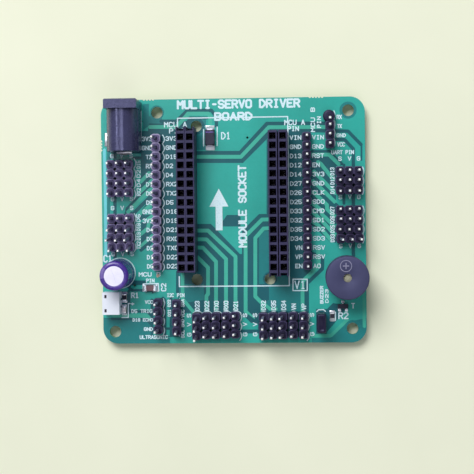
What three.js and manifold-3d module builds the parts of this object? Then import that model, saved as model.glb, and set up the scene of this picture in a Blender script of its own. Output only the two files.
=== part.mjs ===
// Servo driver board: a carrier for a plug-in controller module, with a barrel
// power jack, a battery socket, break-out headers, servo headers, a buzzer and
// a power jumper.
// Units are millimetres. The origin is the centre of the circuit board's
// underside, +X runs to the right of the board, +Y towards the power jack's
// edge and +Z up through the parts.
import * as THREE from 'three';
import { mergeVertices } from 'three/addons/utils/BufferGeometryUtils.js';
import Module from 'manifold-3d';

const wasm = await Module();
wasm.setup();

// ---------------------------------------------------------------- dimensions
const PITCH = 2.54;            // header pin pitch
const BOARD_X = 73.4;          // circuit board width
const BOARD_Y = 68.0;          // circuit board depth
const T = 1.6;                 // circuit board thickness, and height of its top
const CORNER_R = 4.2;          // circuit board corner radius
const M3_HOLE_R = 1.6;         // four outer fixing holes
const M3_HOLES = [[-20.95, 30.35], [32.1, 30.2], [-33.3, -30.65], [32.8, -30.1]];
const MODULE_HOLE_R = 1.55;    // three holes under the plug-in module
const MODULE_HOLES = [[-10.0, 26.4], [-10.2, -16.25], [10.1, -16.25]];
const PIN = 0.64;              // square pin side
const PIN_HOLE = 1.0;          // hole for a square pin in the circuit board
const PIN_TOP = 8.5;           // pin tip above the board
const PIN_TAIL = 1.4;          // pin tail below the board
const MALE_H = 2.5;            // male header insulator height
const MALE_W = 2.5;            // male header insulator width
const STRIP_H = 8.5;           // socket strip height
const STRIP_W = 2.5;           // socket strip width
const SOCKET = 1.67;           // socket opening side
const SOCKET_ROW1_Y = 22.95;   // first socket of each strip
const SOCKET_COUNT = 15;
const STRIPS = [               // x, lower end, upper end of each socket strip
  ['a', -13.74, -13.95, 25.75, 25.3],
  ['b', -11.2, -13.95, 25.75, 25.3],
  ['c', 11.42, -15.25, 24.45, -14.8],
  ['d', 14.14, -15.25, 24.45, -14.8],
];
const HEADERS = [              // name, x, first pin y, number of pins
  ['breakout_left', -21.0, 23.1, 15],
  ['breakout_right', 20.55, 23.1, 15],
  ['uart', 27.0, 28.5, 4],
  ['ultrasonic', -21.0, -22.4, 4],
  ['i2c', -16.0, -22.75, 4],
];
const SERVO = [                // name, centre x, centre y, strips, strip pitch, direction of a strip
  ['upper_left', -31.3, 12.15, 4, PITCH, 'x'],
  ['lower_left', -31.2, -2.75, 4, PITCH, 'x'],
  ['upper_right', 32.15, 10.84, 3, PITCH, 'x'],
  ['lower_right', 32.1, -1.25, 4, PITCH, 'x'],
  ['bottom_left', -4.91, -28.95, 5, 2.68, 'y'],
  ['bottom_right', 13.8, -29.0, 5, 2.8, 'y'],
];
const JACK_X = -29.75;         // barrel jack centre line
const JACK_FRONT = 33.45;      // barrel jack mouth face
const JACK_LEN = 14.05;        // barrel jack length
const JACK_W = 9.0;            // barrel jack width
const JACK_H = 11.0;           // barrel jack height above the board
const JACK_BORE_R = 3.2;       // plug bore radius
const JACK_BORE_Z = 6.5;       // plug bore axis above the board
const JACK_BORE_LEN = 9.8;     // plug bore depth
const JACK_PIN_R = 1.05;       // centre pin radius
const CAP_X = -31.8, CAP_Y = -14.3, CAP_R = 4.0, CAP_TOP = 11.8; // reservoir capacitor
const CAP_LEADS = 3.5;         // lead spacing
const BAT_X0 = -36.15, BAT_X1 = -31.4, BAT_Y = -22.5, BAT_W = 6.15, BAT_H = 4.7;
const BUZ_X = 31.3, BUZ_Y = -15.7, BUZ_R = 5.9, BUZ_H = 9.5, BUZ_LEADS = 6.5;
const JMP_X = 24.2, JMP_Y = -28.0;      // power jumper header centre
const JMP_CAP_LIFT = 0.25;     // gap between the jumper cap and its header
const JMP_CAP = [2.4, 5.1, 6.2];        // jumper cap size

// ------------------------------------------------------------------ geometry
function solid(geometry) {
  const g = geometry.clone();
  g.deleteAttribute('normal');
  g.deleteAttribute('uv');
  const m = mergeVertices(g, 1e-4);
  return new wasm.Manifold(new wasm.Mesh({
    numProp: 3,
    vertProperties: new Float32Array(m.attributes.position.array),
    triVerts: new Uint32Array(m.index.array),
  }));
}
const box = (x0, x1, y0, y1, z0, z1) =>
  solid(new THREE.BoxGeometry(x1 - x0, y1 - y0, z1 - z0)
    .translate((x0 + x1) / 2, (y0 + y1) / 2, (z0 + z1) / 2));
const postZ = (x, y, r, z0, z1, n = 16) =>
  solid(new THREE.CylinderGeometry(r, r, z1 - z0, n)
    .rotateX(Math.PI / 2).translate(x, y, (z0 + z1) / 2));
const postY = (x, z, r, y0, y1, n = 20) =>
  solid(new THREE.CylinderGeometry(r, r, y1 - y0, n).translate(x, (y0 + y1) / 2, z));
// a lathe turned about +Z: profile points are [radius, z]
const turned = (x, y, profile, n = 24) =>
  solid(new THREE.LatheGeometry(profile.map(([r, z]) => new THREE.Vector2(r, z)), n)
    .rotateX(Math.PI / 2).translate(x, y, 0));
function polygon(points) {
  const s = new THREE.Shape();
  points.forEach(([a, b], i) => (i ? s.lineTo(a, b) : s.moveTo(a, b)));
  s.closePath();
  return s;
}
// a YZ outline given thickness along X
const plateX = (points, x0, x1) =>
  solid(new THREE.ExtrudeGeometry(polygon(points), { depth: x1 - x0, bevelEnabled: false })
    .rotateX(Math.PI / 2).rotateZ(Math.PI / 2).translate(x0, 0, 0));
// an XZ outline given thickness along Y
const plateY = (points, y0, y1) =>
  solid(new THREE.ExtrudeGeometry(polygon(points), { depth: y1 - y0, bevelEnabled: false })
    .rotateX(Math.PI / 2).translate(0, y1, 0));
const join = (list) => list.slice(1).reduce((a, b) => a.add(b), list[0]);
const cut = (a, list) => list.reduce((s, b) => s.subtract(b), a);

const board = new THREE.Group();
function place(name, body, colour, roughness, metalness) {
  const m = body.getMesh();
  const g = new THREE.BufferGeometry();
  g.setAttribute('position', new THREE.BufferAttribute(new Float32Array(m.vertProperties), 3));
  g.setIndex(new THREE.BufferAttribute(new Uint32Array(m.triVerts), 1));
  g.computeVertexNormals();
  const mesh = new THREE.Mesh(g, new THREE.MeshStandardMaterial({ color: colour, roughness, metalness }));
  mesh.name = name;
  board.add(mesh);
}
const INK = 0x1d1a26, TIN = 0xd9dade, BRASS = 0xc8a860, IVORY = 0xece8dc;

// ------------------------------------------------- header rows, along X or Y
// A row's pins are one comb: a hidden rail in a groove under the insulator
// joins them.
const rows = [];               // every pin position, for the circuit board's holes
const note = (x, y) => rows.push([x, y]);

function combY(x, ys, top = PIN_TOP) {
  const h = PIN / 2, lo = Math.min(...ys), hi = Math.max(...ys);
  const up = [], down = [];
  [...ys].sort((a, b) => a - b).forEach((y) => {
    up.push([y - h, T + 0.8], [y - h, T + top], [y + h, T + top], [y + h, T + 0.8]);
    down.push([y - h, T + 0.2], [y - h, -PIN_TAIL], [y + h, -PIN_TAIL], [y + h, T + 0.2]);
  });
  // the rail ends flush with the end pins, so the end points fall out
  const upper = up.slice(1, -1), lower = down.slice(1, -1);
  return plateX([...lower, ...upper.reverse()], x - h, x + h);
}
function maleHousing(x0, x1, y0, y1, xs, ys, alongX) {
  const c = PIN / 2 + 0.03, g = 0.42;     // pin hole and rail groove half widths
  const cuts = [];
  if (alongX) ys.forEach((y) => cuts.push(box(Math.min(...xs) - g, Math.max(...xs) + g, y - g, y + g, T - 1, T + 0.85)));
  else xs.forEach((x) => cuts.push(box(x - g, x + g, Math.min(...ys) - g, Math.max(...ys) + g, T - 1, T + 0.85)));
  xs.forEach((x) => ys.forEach((y) => cuts.push(box(x - c, x + c, y - c, y + c, T + 0.5, T + MALE_H + 1))));
  return cut(box(x0, x1, y0, y1, T, T + MALE_H), cuts);
}

// --------------------------------------------------------- break-out headers
HEADERS.forEach(([name, x, y0, n]) => {
  const ys = Array.from({ length: n }, (_, i) => y0 - i * PITCH);
  ys.forEach((y) => note(x, y));
  place(`${name}_header_housing`, maleHousing(x - MALE_W / 2, x + MALE_W / 2,
    ys[n - 1] - PITCH / 2, y0 + PITCH / 2, [x], ys, false), INK, 0.45, 0);
  place(`${name}_header_pins`, combY(x, ys), TIN, 0.25, 1);
});

// -------------------------------------------------------------- servo headers
SERVO.forEach(([name, cx, cy, n, pitch, dir]) => {
  const across = Array.from({ length: n }, (_, i) => (i - (n - 1) / 2) * pitch);
  const along = [-PITCH, 0, PITCH];
  const xs = (dir === 'x' ? along : across).map((v) => cx + v);
  const ys = (dir === 'x' ? across : along).map((v) => cy + v);
  xs.forEach((x) => ys.forEach((y) => note(x, y)));
  const half = ((n - 1) * pitch) / 2 + MALE_W / 2, wide = 1.5 * PITCH;
  const [hx, hy] = dir === 'x' ? [wide, half] : [half, wide];
  const c = 0.25;              // half width of the cross rail
  const housing = maleHousing(cx - hx, cx + hx, cy - hy, cy + hy, xs, ys, dir === 'x');
  const groove = dir === 'x'
    ? box(cx - c - 0.05, cx + c + 0.05, ys[0], ys[n - 1], T - 1, T + 0.85)
    : box(xs[0], xs[n - 1], cy - c - 0.05, cy + c + 0.05, T - 1, T + 0.85);
  place(`servo_${name}_housing`, housing.subtract(groove), INK, 0.45, 0);
  const parts = [];
  const h = PIN / 2;
  xs.forEach((x) => ys.forEach((y) => parts.push(box(x - h, x + h, y - h, y + h, -PIN_TAIL, T + PIN_TOP))));
  if (dir === 'x') {
    ys.forEach((y) => parts.push(box(xs[0], xs[2], y - c, y + c, T + 0.2, T + 0.8)));
    parts.push(box(cx - c, cx + c, ys[0], ys[n - 1], T + 0.2, T + 0.8));
  } else {
    xs.forEach((x) => parts.push(box(x - c, x + c, ys[0], ys[2], T + 0.2, T + 0.8)));
    parts.push(box(xs[0], xs[n - 1], cy - c, cy + c, T + 0.2, T + 0.8));
  }
  place(`servo_${name}_pins`, join(parts), TIN, 0.25, 1);
});

// -------------------------------------------------------------- socket strips
STRIPS.forEach(([name, x, yLow, yHigh, stub]) => {
  const ys = Array.from({ length: SOCKET_COUNT }, (_, i) => SOCKET_ROW1_Y - i * PITCH);
  ys.forEach((y) => note(x, y));
  const w = SOCKET / 2, last = ys[SOCKET_COUNT - 1];
  const cuts = [box(x - 0.35, x + 0.35, last - 0.6, ys[0] + 0.6, T - 1, T + 0.95)];
  ys.forEach((y) => cuts.push(box(x - w, x + w, y - w, y + w, T + 0.85, T + STRIP_H + 1)));
  // the strip is cut to length through the next socket
  cuts.push(stub > 0
    ? box(x - w, x + w, ys[0] + PITCH - w, yHigh + 1, T + 0.85, T + STRIP_H + 1)
    : box(x - w, x + w, yLow - 1, last - PITCH + w, T + 0.85, T + STRIP_H + 1));
  place(`socket_strip_${name}_housing`,
    cut(box(x - STRIP_W / 2, x + STRIP_W / 2, yLow, yHigh, T, T + STRIP_H), cuts), INK, 0.5, 0);
  const up = [], down = [];
  [...ys].reverse().forEach((y) => {
    up.push([y - 0.6, T + 0.8], [y - 0.6, T + 7.2], [y - 0.3, T + 7.2], [y - 0.3, T + 3.2],
      [y + 0.3, T + 3.2], [y + 0.3, T + 7.2], [y + 0.6, T + 7.2], [y + 0.6, T + 0.8]);
    down.push([y - 0.3, T + 0.2], [y - 0.3, -PIN_TAIL], [y + 0.3, -PIN_TAIL], [y + 0.3, T + 0.2]);
  });
  const upper = up.slice(1, -1);
  const lower = [[ys[SOCKET_COUNT - 1] - 0.6, T + 0.2], ...down, [ys[0] + 0.6, T + 0.2]];
  place(`socket_strip_${name}_contacts`,
    plateX([...lower, ...upper.reverse()], x - 0.25, x + 0.25), BRASS, 0.3, 1);
});

// ------------------------------------------------------------ barrel power jack
{
  const front = JACK_FRONT, back = JACK_FRONT - JACK_LEN, x = JACK_X, hw = JACK_W / 2;
  const bz = T + JACK_BORE_Z;
  const flange = box(x - hw, x + hw, front - 2.6, front, T, T + JACK_H);
  const bodyHalf = hw - 0.15, spring = T + JACK_H - 0.3 - bodyHalf;
  const outline = [[x - bodyHalf, T], [x + bodyHalf, T], [x + bodyHalf, spring]];
  for (let i = 1; i < 12; i += 1) {
    const a = (Math.PI * i) / 12;
    outline.push([x + bodyHalf * Math.cos(a), spring + bodyHalf * Math.sin(a)]);
  }
  outline.push([x - bodyHalf, spring]);
  const shell = plateY(outline, back, front - 2.6 + 0.01);
  const housing = cut(flange.add(shell), [
    postY(x, bz, JACK_BORE_R, front - JACK_BORE_LEN, front + 1, 24),   // plug bore
    postY(x, bz, JACK_PIN_R + 0.05, back + 0.9, front, 16),            // centre pin seat
    box(x - 1.6, x + 1.6, 24.9, 31.9, T - 1, T + 4.2),                 // spring chamber
    box(x - 1.4, x + 1.4, back - 1, back + 1.3, T - 1, T + 8.2),       // rear terminal slot
    box(x - hw - 1, x - 1.55, 27.4, 28.5, T + 1.6, T + 2.5),           // switch finger slot
    box(x - hw - 1, x - 3.55, 21.6, 28.5, T + 1.6, T + 3.3),           // switch arm groove
    box(x - hw - 1, x - 3.55, 21.6, 24.3, T - 1, T + 3.3),             // switch blade groove
  ]);
  place('dc_jack_housing', housing, INK, 0.4, 0);
  const pin = join([
    postY(x, bz, JACK_PIN_R, back + 0.5, front - 1.2, 16),
    box(x - 1.15, x + 1.15, back + 0.3, back + 0.7, T + 0.1, bz + 1.15),
    box(x - 0.8, x + 0.8, back + 0.3, back + 0.7, -PIN_TAIL, T + 0.2),
  ]);
  place('dc_jack_centre_pin', pin, TIN, 0.25, 1);
  const leaf = [[26.5, T + 1.1], [28.9, T + 1.6], [29.4, T + 1.8], [30.3, T + 3.35], [31.1, T + 2.3],
    [31.35, T + 2.5], [30.35, T + 3.75], [30.2, T + 3.75], [29.2, T + 2.05], [28.8, T + 1.9], [26.5, T + 1.4]];
  place('dc_jack_spring_leaf', plateX(leaf, x - 1.0, x + 1.0), BRASS, 0.3, 1);
  place('dc_jack_sleeve_terminal', join([
    box(x - 1.0, x + 1.0, 25.2, 26.2, T + 1.0, T + 1.35),
    box(x - 0.8, x + 0.8, 25.5, 25.9, -PIN_TAIL, T + 1.1),
  ]), TIN, 0.25, 1);
  place('dc_jack_switch_contact', join([
    box(x - 4.1, x - 3.8, 22.0, 24.0, T + 0.1, T + 3.0),
    box(x - 4.1, x - 3.8, 22.3, 23.7, -PIN_TAIL, T + 0.2),
    box(x - 4.1, x - 3.8, 23.9, 28.2, T + 1.95, T + 3.0),
    box(x - 3.9, x - 0.3, 27.6, 28.2, T + 1.95, T + 2.2),
  ]), TIN, 0.25, 1);
}
const JACK_SLOTS = [
  [JACK_X - 1.1, JACK_X + 1.1, JACK_FRONT - JACK_LEN, JACK_FRONT - JACK_LEN + 1.0],
  [JACK_X - 1.1, JACK_X + 1.1, 25.2, 26.2],
  [JACK_X - 4.45, JACK_X - 3.45, 22.0, 24.0],
];

// ---------------------------------------------------------- reservoir capacitor
place('capacitor_can', turned(CAP_X, CAP_Y, [
  [0, T + CAP_TOP - 0.3], [3.7, T + CAP_TOP - 0.3], [3.7, T + 0.3], [3.85, T + 0.3],
  [3.85, T + CAP_TOP - 0.08], [0, T + CAP_TOP - 0.08]]), 0xc9cdd2, 0.3, 1);
place('capacitor_sleeve', turned(CAP_X, CAP_Y, [
  [3.88, T + 0.25], [CAP_R, T + 0.25], [CAP_R, T + CAP_TOP], [2.8, T + CAP_TOP],
  [2.8, T + CAP_TOP - 0.06], [3.88, T + CAP_TOP - 0.06], [3.88, T + 0.25]]), 0x2e2370, 0.35, 0);
place('capacitor_bung', cut(turned(CAP_X, CAP_Y, [
  [0, T + 0.4], [3.66, T + 0.4], [3.66, T + 2.4], [0, T + 2.4]]),
[-1, 1].map((s) => postZ(CAP_X + (s * CAP_LEADS) / 2, CAP_Y, 0.36, T - 1, T + 4, 8))), 0x22201f, 0.8, 0);
[['positive', 1], ['negative', -1]].forEach(([n, s]) => place(`capacitor_lead_${n}`,
  postZ(CAP_X + (s * CAP_LEADS) / 2, CAP_Y, 0.3, -1.1, T + 3.2, 8), TIN, 0.3, 1));

// --------------------------------------------------------------- battery socket
{
  const y0 = BAT_Y - BAT_W / 2, y1 = BAT_Y + BAT_W / 2;
  place('battery_socket_housing', cut(box(BAT_X0, BAT_X1, y0, y1, T, T + BAT_H), [
    box(BAT_X0 - 1, BAT_X0 + 3.4, y0 + 0.65, y1 - 0.65, T + 0.8, T + BAT_H - 0.7),     // mouth
    ...[-1, 1].flatMap((s) => [
      box(BAT_X0 + 0.6, BAT_X0 + 1.2, BAT_Y + s * 1.95 - 0.45, BAT_Y + s * 1.95 + 0.45, T + 3, T + BAT_H + 1), // latch windows
      box(BAT_X0 + 3.3, BAT_X1 + 1, BAT_Y + s - 0.3, BAT_Y + s + 0.3, T + 1.95, T + 2.75),                    // pin passage
      box(BAT_X1 - 0.85, BAT_X1 + 1, BAT_Y + s - 0.3, BAT_Y + s + 0.3, T - 1, T + 2.75),                      // tail groove
    ]),
  ]), IVORY, 0.4, 0);
  [['positive', 1], ['negative', -1]].forEach(([n, s]) => {
    const y = BAT_Y + s;
    place(`battery_socket_pin_${n}`, join([
      box(BAT_X0 + 0.8, BAT_X1 - 0.2, y - 0.25, y + 0.25, T + 2.1, T + 2.6),
      box(BAT_X1 - 0.7, BAT_X1 - 0.2, y - 0.25, y + 0.25, -PIN_TAIL, T + 2.6),
    ]), TIN, 0.25, 1);
  });
}

// ----------------------------------------------------------------------- buzzer
place('buzzer_case', turned(BUZ_X, BUZ_Y, [
  [1.15, T + BUZ_H], [1.15, T + BUZ_H - 0.8], [4.9, T + BUZ_H - 0.8], [4.9, T + 6.3], [5.3, T + 6.3],
  [5.3, T + 0.2], [BUZ_R, T + 0.2], [BUZ_R, T + BUZ_H - 0.3], [BUZ_R - 0.3, T + BUZ_H],
  [1.15, T + BUZ_H]], 24), INK, 0.4, 0);
place('buzzer_base', cut(turned(BUZ_X, BUZ_Y, [
  [0, T + 0.35], [5.2, T + 0.35], [5.2, T + 1.1], [0, T + 1.1]]),
[-1, 1].map((s) => postZ(BUZ_X + (s * BUZ_LEADS) / 2, BUZ_Y, 0.36, T - 1, T + 3, 8))), 0x2c5a3c, 0.6, 0);
place('buzzer_drive_coil', turned(BUZ_X, BUZ_Y, [
  [0, T + 1.15], [2.7, T + 1.15], [2.7, T + 4.4], [1.0, T + 4.4], [1.0, T + 5.6], [0, T + 5.6]], 16), 0xb06a3a, 0.4, 1);
place('buzzer_diaphragm', turned(BUZ_X, BUZ_Y, [
  [0, T + 6.05], [5.2, T + 6.05], [5.2, T + 6.25], [0, T + 6.25]]), 0xcfd2d6, 0.25, 1);
[['positive', -1], ['negative', 1]].forEach(([n, s]) => place(`buzzer_lead_${n}`,
  postZ(BUZ_X + (s * BUZ_LEADS) / 2, BUZ_Y, 0.3, -1.2, T + 1.3, 8), TIN, 0.3, 1));

// ----------------------------------------------------------------- power jumper
{
  const ys = [JMP_Y + PITCH / 2, JMP_Y - PITCH / 2];
  ys.forEach((y) => note(JMP_X, y));
  place('jumper_header_housing', maleHousing(JMP_X - MALE_W / 2, JMP_X + MALE_W / 2,
    JMP_Y - PITCH, JMP_Y + PITCH, [JMP_X], ys, false), INK, 0.45, 0);
  place('jumper_header_pins', combY(JMP_X, ys), TIN, 0.25, 1);
  const [w, l, h] = JMP_CAP;
  const z0 = T + MALE_H + JMP_CAP_LIFT, z1 = z0 + h;
  place('jumper_cap', cut(box(JMP_X - w / 2, JMP_X + w / 2, JMP_Y - l / 2, JMP_Y + l / 2, z0, z1), [
    box(JMP_X - 0.65, JMP_X + 0.65, JMP_Y - 2.0, JMP_Y + 2.0, z0 - 1, z1 - 0.3)]), INK, 0.35, 0);
  place('jumper_cap_clip', join([
    box(JMP_X - 0.6, JMP_X - 0.38, JMP_Y - 1.9, JMP_Y + 1.9, z0 + 0.7, z0 + 4.6),
    box(JMP_X + 0.38, JMP_X + 0.6, JMP_Y - 1.9, JMP_Y + 1.9, z0 + 0.7, z0 + 4.6),
    box(JMP_X - 0.5, JMP_X + 0.5, JMP_Y - 0.6, JMP_Y + 0.6, z0 + 1.6, z0 + 3.6),
  ]), BRASS, 0.3, 1);
}

// -------------------------------------------------------- surface-mounted parts
const S = T + 0.02;            // seat of a surface-mounted part on its solder
// chip part lying along Y: metal ends wrap a ceramic body
function chip(name, x, y, l, w, h, alongX, colour) {
  const [a, b] = alongX ? [l, w] : [w, l];
  place(name, box(x - a / 2, x + a / 2, y - b / 2, y + b / 2, S, S + h), colour, 0.5, 0);
}
chip('resistor_r1', -30.6, -21.05, 2.0, 1.25, 0.5, false, 0x17171b);
chip('power_led', -30.75, -24.6, 2.0, 1.25, 0.8, false, 0xe9e4d6);
chip('capacitor_c2', -23.35, -18.5, 3.2, 1.6, 1.1, true, 0xb49a72);
chip('resistor_r2', 27.2, -26.6, 2.0, 1.25, 0.5, false, 0x17171b);
{
  const x = -6.15, y = 23.15;
  place('diode_d1', join([
    box(x - 1.35, x + 1.35, y - 2.15, y + 2.15, S + 0.1, S + 2.2),
    box(x - 0.75, x + 0.75, y - 2.6, y + 2.6, S, S + 1.2),
  ]), 0x1b1a20, 0.5, 0);
  const tx = 30.2, ty = -23.9;
  place('transistor_t1', join([
    box(tx - 1.45, tx + 1.45, ty - 0.65, ty + 0.65, S + 0.1, S + 1.1),
    box(tx - 0.2, tx + 0.2, ty, ty + 1.2, S, S + 0.5),
    box(tx - 1.15, tx - 0.75, ty - 1.2, ty, S, S + 0.5),
    box(tx + 0.75, tx + 1.15, ty - 1.2, ty, S, S + 0.5),
  ]), 0x1b1a20, 0.5, 0);
}

// ---------------------------------------------------------------- circuit board
{
  const hx = BOARD_X / 2, hy = BOARD_Y / 2, r = CORNER_R;
  const outline = new THREE.Shape();
  [[hx - r, hy - r, 0], [-hx + r, hy - r, 1], [-hx + r, -hy + r, 2], [hx - r, -hy + r, 3]].forEach(([cx, cy, q], k) => {
    for (let i = 0; i <= 6; i += 1) {
      const a = (q + i / 6) * (Math.PI / 2);
      const p = [cx + r * Math.cos(a), cy + r * Math.sin(a)];
      if (k || i) outline.lineTo(...p); else outline.moveTo(...p);
    }
  });
  outline.closePath();
  const plate = solid(new THREE.ExtrudeGeometry(outline, { depth: T, bevelEnabled: false }));
  const h = PIN_HOLE / 2;
  const slot = (x0, x1, y0, y1) => box(x0, x1, y0, y1, -1, T + 1);
  const holes = [
    ...M3_HOLES.map(([x, y]) => postZ(x, y, M3_HOLE_R, -1, T + 1, 20)),
    ...MODULE_HOLES.map(([x, y]) => postZ(x, y, MODULE_HOLE_R, -1, T + 1, 16)),
    ...rows.map(([x, y]) => slot(x - h, x + h, y - h, y + h)),
    ...JACK_SLOTS.map((s) => slot(...s)),
    ...[-1, 1].flatMap((s) => [
      postZ(CAP_X + (s * CAP_LEADS) / 2, CAP_Y, 0.45, -1, T + 1, 6),
      postZ(BUZ_X + (s * BUZ_LEADS) / 2, BUZ_Y, 0.45, -1, T + 1, 6),
      slot(BAT_X1 - 0.95, BAT_X1 + 0.05, BAT_Y + s - 0.5, BAT_Y + s + 0.5),
    ]),
  ];
  place('circuit_board', cut(plate, holes), 0x139a80, 0.35, 0);
}

export default board;
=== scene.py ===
import math
import random

import bpy
from mathutils import Vector, Matrix
from mathutils.geometry import delaunay_2d_cdt


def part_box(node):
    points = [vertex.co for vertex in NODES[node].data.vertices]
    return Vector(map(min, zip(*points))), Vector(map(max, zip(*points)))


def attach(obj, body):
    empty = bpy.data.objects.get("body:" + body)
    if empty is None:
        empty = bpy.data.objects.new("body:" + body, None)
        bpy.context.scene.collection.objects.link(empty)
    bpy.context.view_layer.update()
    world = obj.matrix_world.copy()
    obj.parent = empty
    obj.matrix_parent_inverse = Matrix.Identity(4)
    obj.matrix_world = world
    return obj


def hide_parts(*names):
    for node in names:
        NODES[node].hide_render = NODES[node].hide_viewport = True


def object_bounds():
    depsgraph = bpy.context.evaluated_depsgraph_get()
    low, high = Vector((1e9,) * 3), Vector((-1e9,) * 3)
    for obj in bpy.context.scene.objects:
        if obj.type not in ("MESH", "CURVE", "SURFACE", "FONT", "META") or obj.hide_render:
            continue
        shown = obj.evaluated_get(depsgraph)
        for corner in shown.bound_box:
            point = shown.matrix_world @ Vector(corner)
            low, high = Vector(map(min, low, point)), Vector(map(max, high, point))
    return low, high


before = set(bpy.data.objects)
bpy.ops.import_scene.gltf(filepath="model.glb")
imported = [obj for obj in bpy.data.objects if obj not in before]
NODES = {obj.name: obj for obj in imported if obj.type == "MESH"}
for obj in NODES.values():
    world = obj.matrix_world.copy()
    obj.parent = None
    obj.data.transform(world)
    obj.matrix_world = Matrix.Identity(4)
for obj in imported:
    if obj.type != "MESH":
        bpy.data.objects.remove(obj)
CAD_LO, CAD_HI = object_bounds()
MM = 0.001
rng = random.Random(11)


def box_mm(node):
    lo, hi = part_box(node)
    return [c / MM for c in lo], [c / MM for c in hi]


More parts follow.
